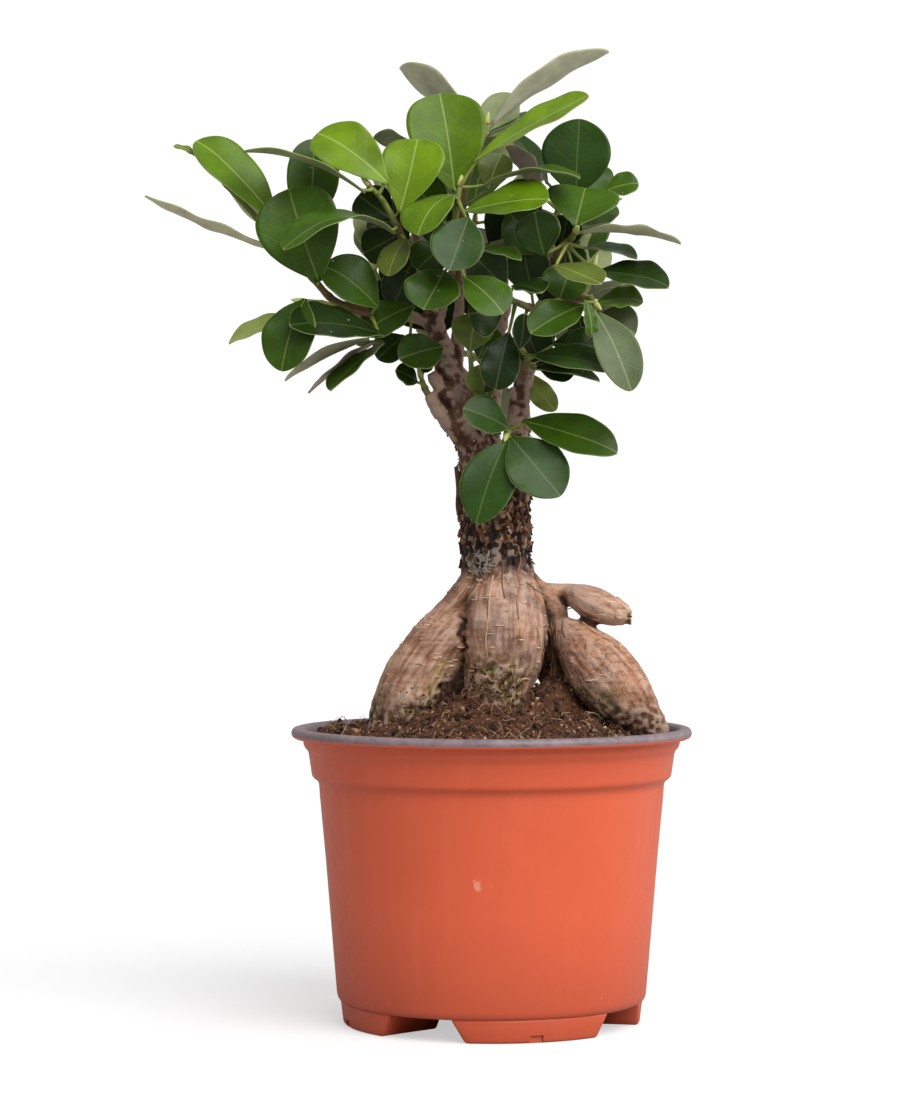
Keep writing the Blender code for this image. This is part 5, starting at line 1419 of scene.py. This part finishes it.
# The blade is modelled flat once: a grid over (side from -1 to 1, share of the length), finer at the
# edges and at the tip, with its thickness.
bpy.ops.object.select_all(action="DESELECT")
bpy.ops.mesh.primitive_grid_add(x_subdivisions=LEAF_ACROSS - 1, y_subdivisions=LEAF_LONG - 1, size=2)
blade = bpy.context.object
for vert in blade.data.vertices:
    side, share = vert.co.x, vert.co.y / 2 + 0.5
    vert.co = (math.copysign(abs(side) ** 0.8, side), 1 - (1 - share) ** 1.55, 0)
thicken = blade.modifiers.new("thickness", "SOLIDIFY")
thicken.thickness = 1.0
thicken.offset = 0
only(blade)
bpy.ops.object.modifier_apply(modifier=thicken.name)
blade_side, blade_share, blade_top = (
    np.array([v.co[axis] for v in blade.data.vertices]) for axis in range(3)
)
blade_faces = [tuple(p.vertices) for p in blade.data.polygons]
bpy.data.objects.remove(blade, do_unlink=True)


def outline(share, oval):
    """Half the blade's width at a share of its length, its corners rounded off."""
    kinds = []
    for table in (WEDGE, OVAL):
        shares, widths = zip(*table)
        spread_out = sum(np.interp(np.clip(share + d, 0, 1), shares, widths) for d in (-0.02, 0, 0.02)) / 3
        kinds.append(np.where(share > 0.96, np.interp(share, shares, widths), spread_out))
    return kinds[0] + (kinds[1] - kinds[0]) * oval


# Fig leaf, living: waxy and glossy above, matt and paler below, a translucent paler midrib and side
# veins, and a thin pale edge.
leaf_finish, shader, tree = new_finish(
    "fig_leaf_waxy_living", IOR=1.45, Specular_IOR_Level=0.2, Coat_Roughness=0.25, Coat_IOR=1.45,
    Subsurface_Weight=0.06, Subsurface_Radius=(0.6, 1.0, 0.2), Subsurface_Scale=0.001,
)
own = add_node(tree, "Attribute", attribute_name="tint")
below = add_node(tree, "Attribute", attribute_name="below").outputs["Fac"]
vein_pale = add_node(tree, "Attribute", attribute_name="vein_pale").outputs["Fac"]
in_leaf = add_node(tree, "Attribute", attribute_name="in_leaf").outputs["Vector"]
across, ahead_mm, from_edge = add_node(tree, "SeparateXYZ", {0: in_leaf}).outputs
where = add_node(tree, "TexCoord").outputs["Object"]
blotch = add_node(tree, "TexNoise", {"Vector": where, "Scale": 120.0, "Detail": 3.0, "Roughness": 0.55})
fine = add_node(tree, "TexNoise", {"Vector": where, "Scale": 900.0, "Detail": 3.0, "Roughness": 0.6})
off_middle = add_node(tree, "Math", {0: across}, operation="ABSOLUTE")
rib = add_node(tree, "MapRange", {0: off_middle, 1: 0.08, 2: 0.34, 3: 1.0, 4: 0.0})
# a side vein leaves the midrib every VEIN_STEP mm and turns forward as it nears the edge
bowed = add_node(tree, "Math", {0: off_middle, 1: 1.12}, operation="POWER")
slant = add_node(tree, "Math", {0: bowed, 1: -0.62, 2: ahead_mm}, operation="MULTIPLY_ADD")
wander = add_node(tree, "Math", {0: blotch, 1: 1.1, 2: slant}, operation="MULTIPLY_ADD")
stepped = add_node(tree, "Math", {0: wander, 1: VEIN_STEP}, operation="DIVIDE")
phase = add_node(tree, "Math", {0: stepped, 1: 1.0}, operation="PINGPONG")
vein = add_node(tree, "MapRange", {0: phase, 1: 0.0, 2: 0.16, 3: 1.0, 4: 0.0})
vein_fade = add_node(tree, "MapRange", {0: from_edge, 1: 0.4, 2: 1.6, 3: 0.0, 4: 1.0})
veins = add_node(tree, "Math", {0: vein, 1: vein_fade}, operation="MULTIPLY")
vein_light = add_node(tree, "Math", {0: veins, 1: 0.07}, operation="MULTIPLY")
pattern = add_node(tree, "Math", {0: rib, 1: vein_light}, operation="MAXIMUM")
pattern_kept = add_node(tree, "Math", {0: pattern, 1: vein_pale}, operation="MULTIPLY")
tone_share = add_node(tree, "MapRange", {0: blotch, 1: 0.35, 2: 0.68, 3: 0.78, 4: 1.16})
edge_share = add_node(tree, "MapRange", {0: from_edge, 1: 0.06, 2: 0.26, 3: 0.36, 4: 0.0})
# a few pale dots of dried hard water
fleck_cells = add_node(tree, "TexVoronoi", {"Vector": where, "Scale": 420.0, "Randomness": 1.0})
fleck_near = add_node(tree, "MapRange", {0: fleck_cells, 1: 0.04, 2: 0.15, 3: 0.6, 4: 0.0})
fleck_pick = add_node(tree, "SeparateColor", {0: fleck_cells.outputs["Color"]})
fleck_rare = add_node(tree, "Math", {0: fleck_pick, 1: 0.975}, operation="GREATER_THAN")
fleck = add_node(tree, "Math", {0: fleck_near, 1: fleck_rare}, operation="MULTIPLY")
tone = add_node(tree, "Mix", {0: 1.0, 6: own, 7: tone_share}, data_type="RGBA", blend_type="MULTIPLY")
for share, colour in ((pattern_kept, "#B9C878"), (edge_share, "#B7C27A"), (fleck, "#D6DCC0")):
    tone = add_node(tree, "Mix", {0: share, 6: tone, 7: linear(colour)}, data_type="RGBA")
rough_above = add_node(tree, "MapRange", {0: fine, 1: 0.3, 2: 0.7, 3: 0.36, 4: 0.48})
rough = add_node(tree, "Mix", {0: below, 2: rough_above, 3: 0.62}, data_type="FLOAT")
coat = add_node(tree, "MapRange", {0: below, 3: 0.09, 4: 0.0})
swell = add_node(tree, "Math", {0: blotch, 1: 0.8, 2: fine}, operation="MULTIPLY_ADD")
height = add_node(tree, "Math", {0: veins, 1: -0.35, 2: swell}, operation="MULTIPLY_ADD")
bumps = add_node(tree, "Bump", {"Height": height, "Distance": 0.00016, "Strength": 0.55})
feed(tree, shader, Base_Color=tone, Roughness=rough, Coat_Weight=coat, Normal=bumps)

STEM_BARK = linear("#7A5C40")
STEM_GREEN = linear("#6E7C38")
STALK = linear("#9BA554")
STALK_DARK = linear("#7A8440")
BUD = linear("#B4C070")
SHEATH = linear("#B98F6A")


class Shoot(Gathered):
    """One shoot's stem, stalks, blades and bud, with what the leaf finish reads at each point."""

    def __init__(self):
        super().__init__()
        self.below = []
        self.pale = []
        self.in_leaf = []

    def fill_stem(self):
        """Gives points added since the last call the values of a stem: no vein, far from any edge."""
        missing = len(self.points) - len(self.below)
        self.below += [0.35] * missing
        self.pale += [0.0] * missing
        self.in_leaf += [(5.0, 0.0, 5.0)] * missing


def add_leaf(shoot, stem, leaf, draw):
    """Adds one leaf of the table: its blade, bent and waved, and its stalk back to the stem."""
    base, tip, width, faces, arch, look = leaf
    base, tip = place(base), place(tip)
    length = (tip - base).length
    ahead = (tip - base) / length
    up = Vector(faces)
    up = (up - ahead * up.dot(ahead)).normalized()
    across = ahead.cross(up)
    upper_hex, lower_hex, vein_strength = LOOKS[look]
    upper, lower = linear(upper_hex), linear(lower_hex)
    half = width / 2 * MM
    sway = draw.uniform(-0.035, 0.035)
    twist = draw.uniform(-0.10, 0.10)
    wave, wave_at, wave_count = draw.uniform(0.15, 0.5) * MM, draw.uniform(0, 6.28), draw.uniform(1.6, 3.0)
    lean_tip = draw.uniform(-0.05, 0.02)
    skew = draw.uniform(-0.04, 0.04)
    widths = outline(blade_share, min(1.0, max(0.0, OVAL_SHARE[look] + draw.uniform(-0.15, 0.15))))
    points, tints = [], []
    below, pale, in_leaf = [], [], []
    for s, t, top, wide in zip(blade_side, blade_share, blade_top, widths):
        lobe = 1 + skew * (1 if s > 0 else -1)
        reach = half * float(wide) * lobe
        off = s * reach
        centre = base + ahead * length * t + up * arch * length * 4 * t * (1 - t)
        centre = centre + across * sway * length * math.sin(math.pi * t)
        centre = centre + up * lean_tip * length * max(0.0, t - 0.7) ** 2 / 0.09
        turned = twist * (t - 0.4)
        lift = CUP * reach * abs(s) ** 1.7 + turned * off
        waved = math.sin(wave_at + 2 * math.pi * wave_count * t + (1.4 if s > 0 else 0))
        lift += wave * waved * abs(s) ** 2.5 * min(1, reach / half)
        rib_near = math.exp(-((off / MM / 0.55) ** 2)) * (1 - 0.6 * t)
        upper_side = top > 0
        lift -= (0.16 if upper_side else 0.34) * MM * rib_near
        slope = 4 * arch * (1 - 2 * t)
        out = (up - ahead * slope).normalized()
        half_thick = 0.5 * LEAF_THICK * MM * (1.0 - 0.55 * abs(s) ** 3)
        points.append(centre + across * off + out * (lift + (half_thick if upper_side else -half_thick)))
        shade = 1.0 - 0.10 * (1 - t)
        colour = upper if upper_side else lower
        tints.append(tuple(c * shade for c in colour[:3]) + (1.0,))
        below.append(0.0 if upper_side else 1.0)
        pale.append(vein_strength if upper_side else vein_strength * 0.75)
        edge_gap = min(reach * (1 - abs(s)), length * (1 - t)) / MM
        in_leaf.append((off / MM, t * length / MM, edge_gap))
    # a tip that would pass the part's outline bends back inside it
    for axis in range(3):
        over = max(max(p[axis] for p in points) - cad_bounds[1][axis], 0.0)
        under = max(cad_bounds[0][axis] - min(p[axis] for p in points), 0.0)
        for point, t in zip(points, blade_share):
            point[axis] += (under - over) * 1.05 * t ** 1.5
    shoot.solid(points, blade_faces, tints)
    shoot.below += below
    shoot.pale += pale
    shoot.in_leaf += in_leaf
    # the stalk: from the stem to a little way up the blade's back
    root = min(
        (p for p, _ in along(stem, 3)[2:]),
        key=lambda p: (base - p).length * (2.5 - (base - p).normalized().dot(ahead)),
    )
    into = base + ahead * length * 0.05 + up * arch * length * 0.19 - up * 0.12 * MM
    bend = (root + base) / 2 + Vector((0, 0, -0.06 * (base - root).length))
    stalk = draw.uniform(0.50, 0.62)
    run = []
    for k in range(9):
        t = k / 8
        spot = root.lerp(bend, t).lerp(bend.lerp(into, t), t)
        thick = stalk * (1.35 - 0.55 * min(1.0, t * 2.2)) * (1 if t < 0.85 else 1 - 0.5 * (t - 0.85) / 0.15)
        run.append((spot, thick * MM))
    tone = blended(STALK_DARK, STALK, draw.random())
    if look in ("deep", "dark"):
        tone = blended(tone, linear("#5E6C2E"), 0.4)
    joint = blended(STEM_GREEN, STEM_BARK, 0.3)
    shoot.tube(run, 9, [blended(joint, tone, min(1.0, k / 2.5)) for k in range(9)])
    shoot.fill_stem()


for shoot_index, (node, (stem, *leaves)) in enumerate(SHOOTS.items()):
    draw = random.Random(200 + shoot_index)
    shoot = Shoot()
    path = along(stem, 5)
    last = len(path) - 1
    woody = draw.uniform(0.25, 0.5)
    rings, tones = [], []
    for k, (centre, radius) in enumerate(path):
        t = k / last
        # a node's swelling and its ring-shaped scar at each drawn point of the stem
        knot = 1.22 if k % 5 == 0 and 0 < k < last else 1.0
        rings.append((centre, radius * knot * draw.uniform(0.95, 1.05)))
        tone = blended(STEM_BARK, STEM_GREEN, ramp(t, woody, woody + 0.35))
        tones.append(blended(tone, linear("#4C3826"), 0.5 if knot > 1 else 0.0))
    shoot.tube(rings, 12, tones)
    shoot.fill_stem()
    ahead = (path[-1][0] - path[-3][0]).normalized()
    bud_long = draw.uniform(3.6, 5.2) * MM
    bud = []
    for k in range(8):
        t = k / 7
        thick = path[-1][1] * (1.25 * (1 - t) ** 0.8 * (1 + 0.9 * t) + 0.05)
        bud.append((path[-1][0] + ahead * bud_long * t, thick))
    shoot.tube(bud, 10, [blended(SHEATH, BUD, min(1.0, k / 3)) for k in range(8)])
    shoot.fill_stem()
    for leaf in leaves:
        add_leaf(shoot, stem, leaf, draw)
    piece = shoot.piece("leafy_" + node, leaf_finish)
    mark(piece.data, "below", shoot.below)
    mark(piece.data, "vein_pale", shoot.pale)
    mark(piece.data, "in_leaf", [v for spot in shoot.in_leaf for v in spot], "FLOAT_VECTOR", "vector")
    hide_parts(node)
    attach(piece, "root")
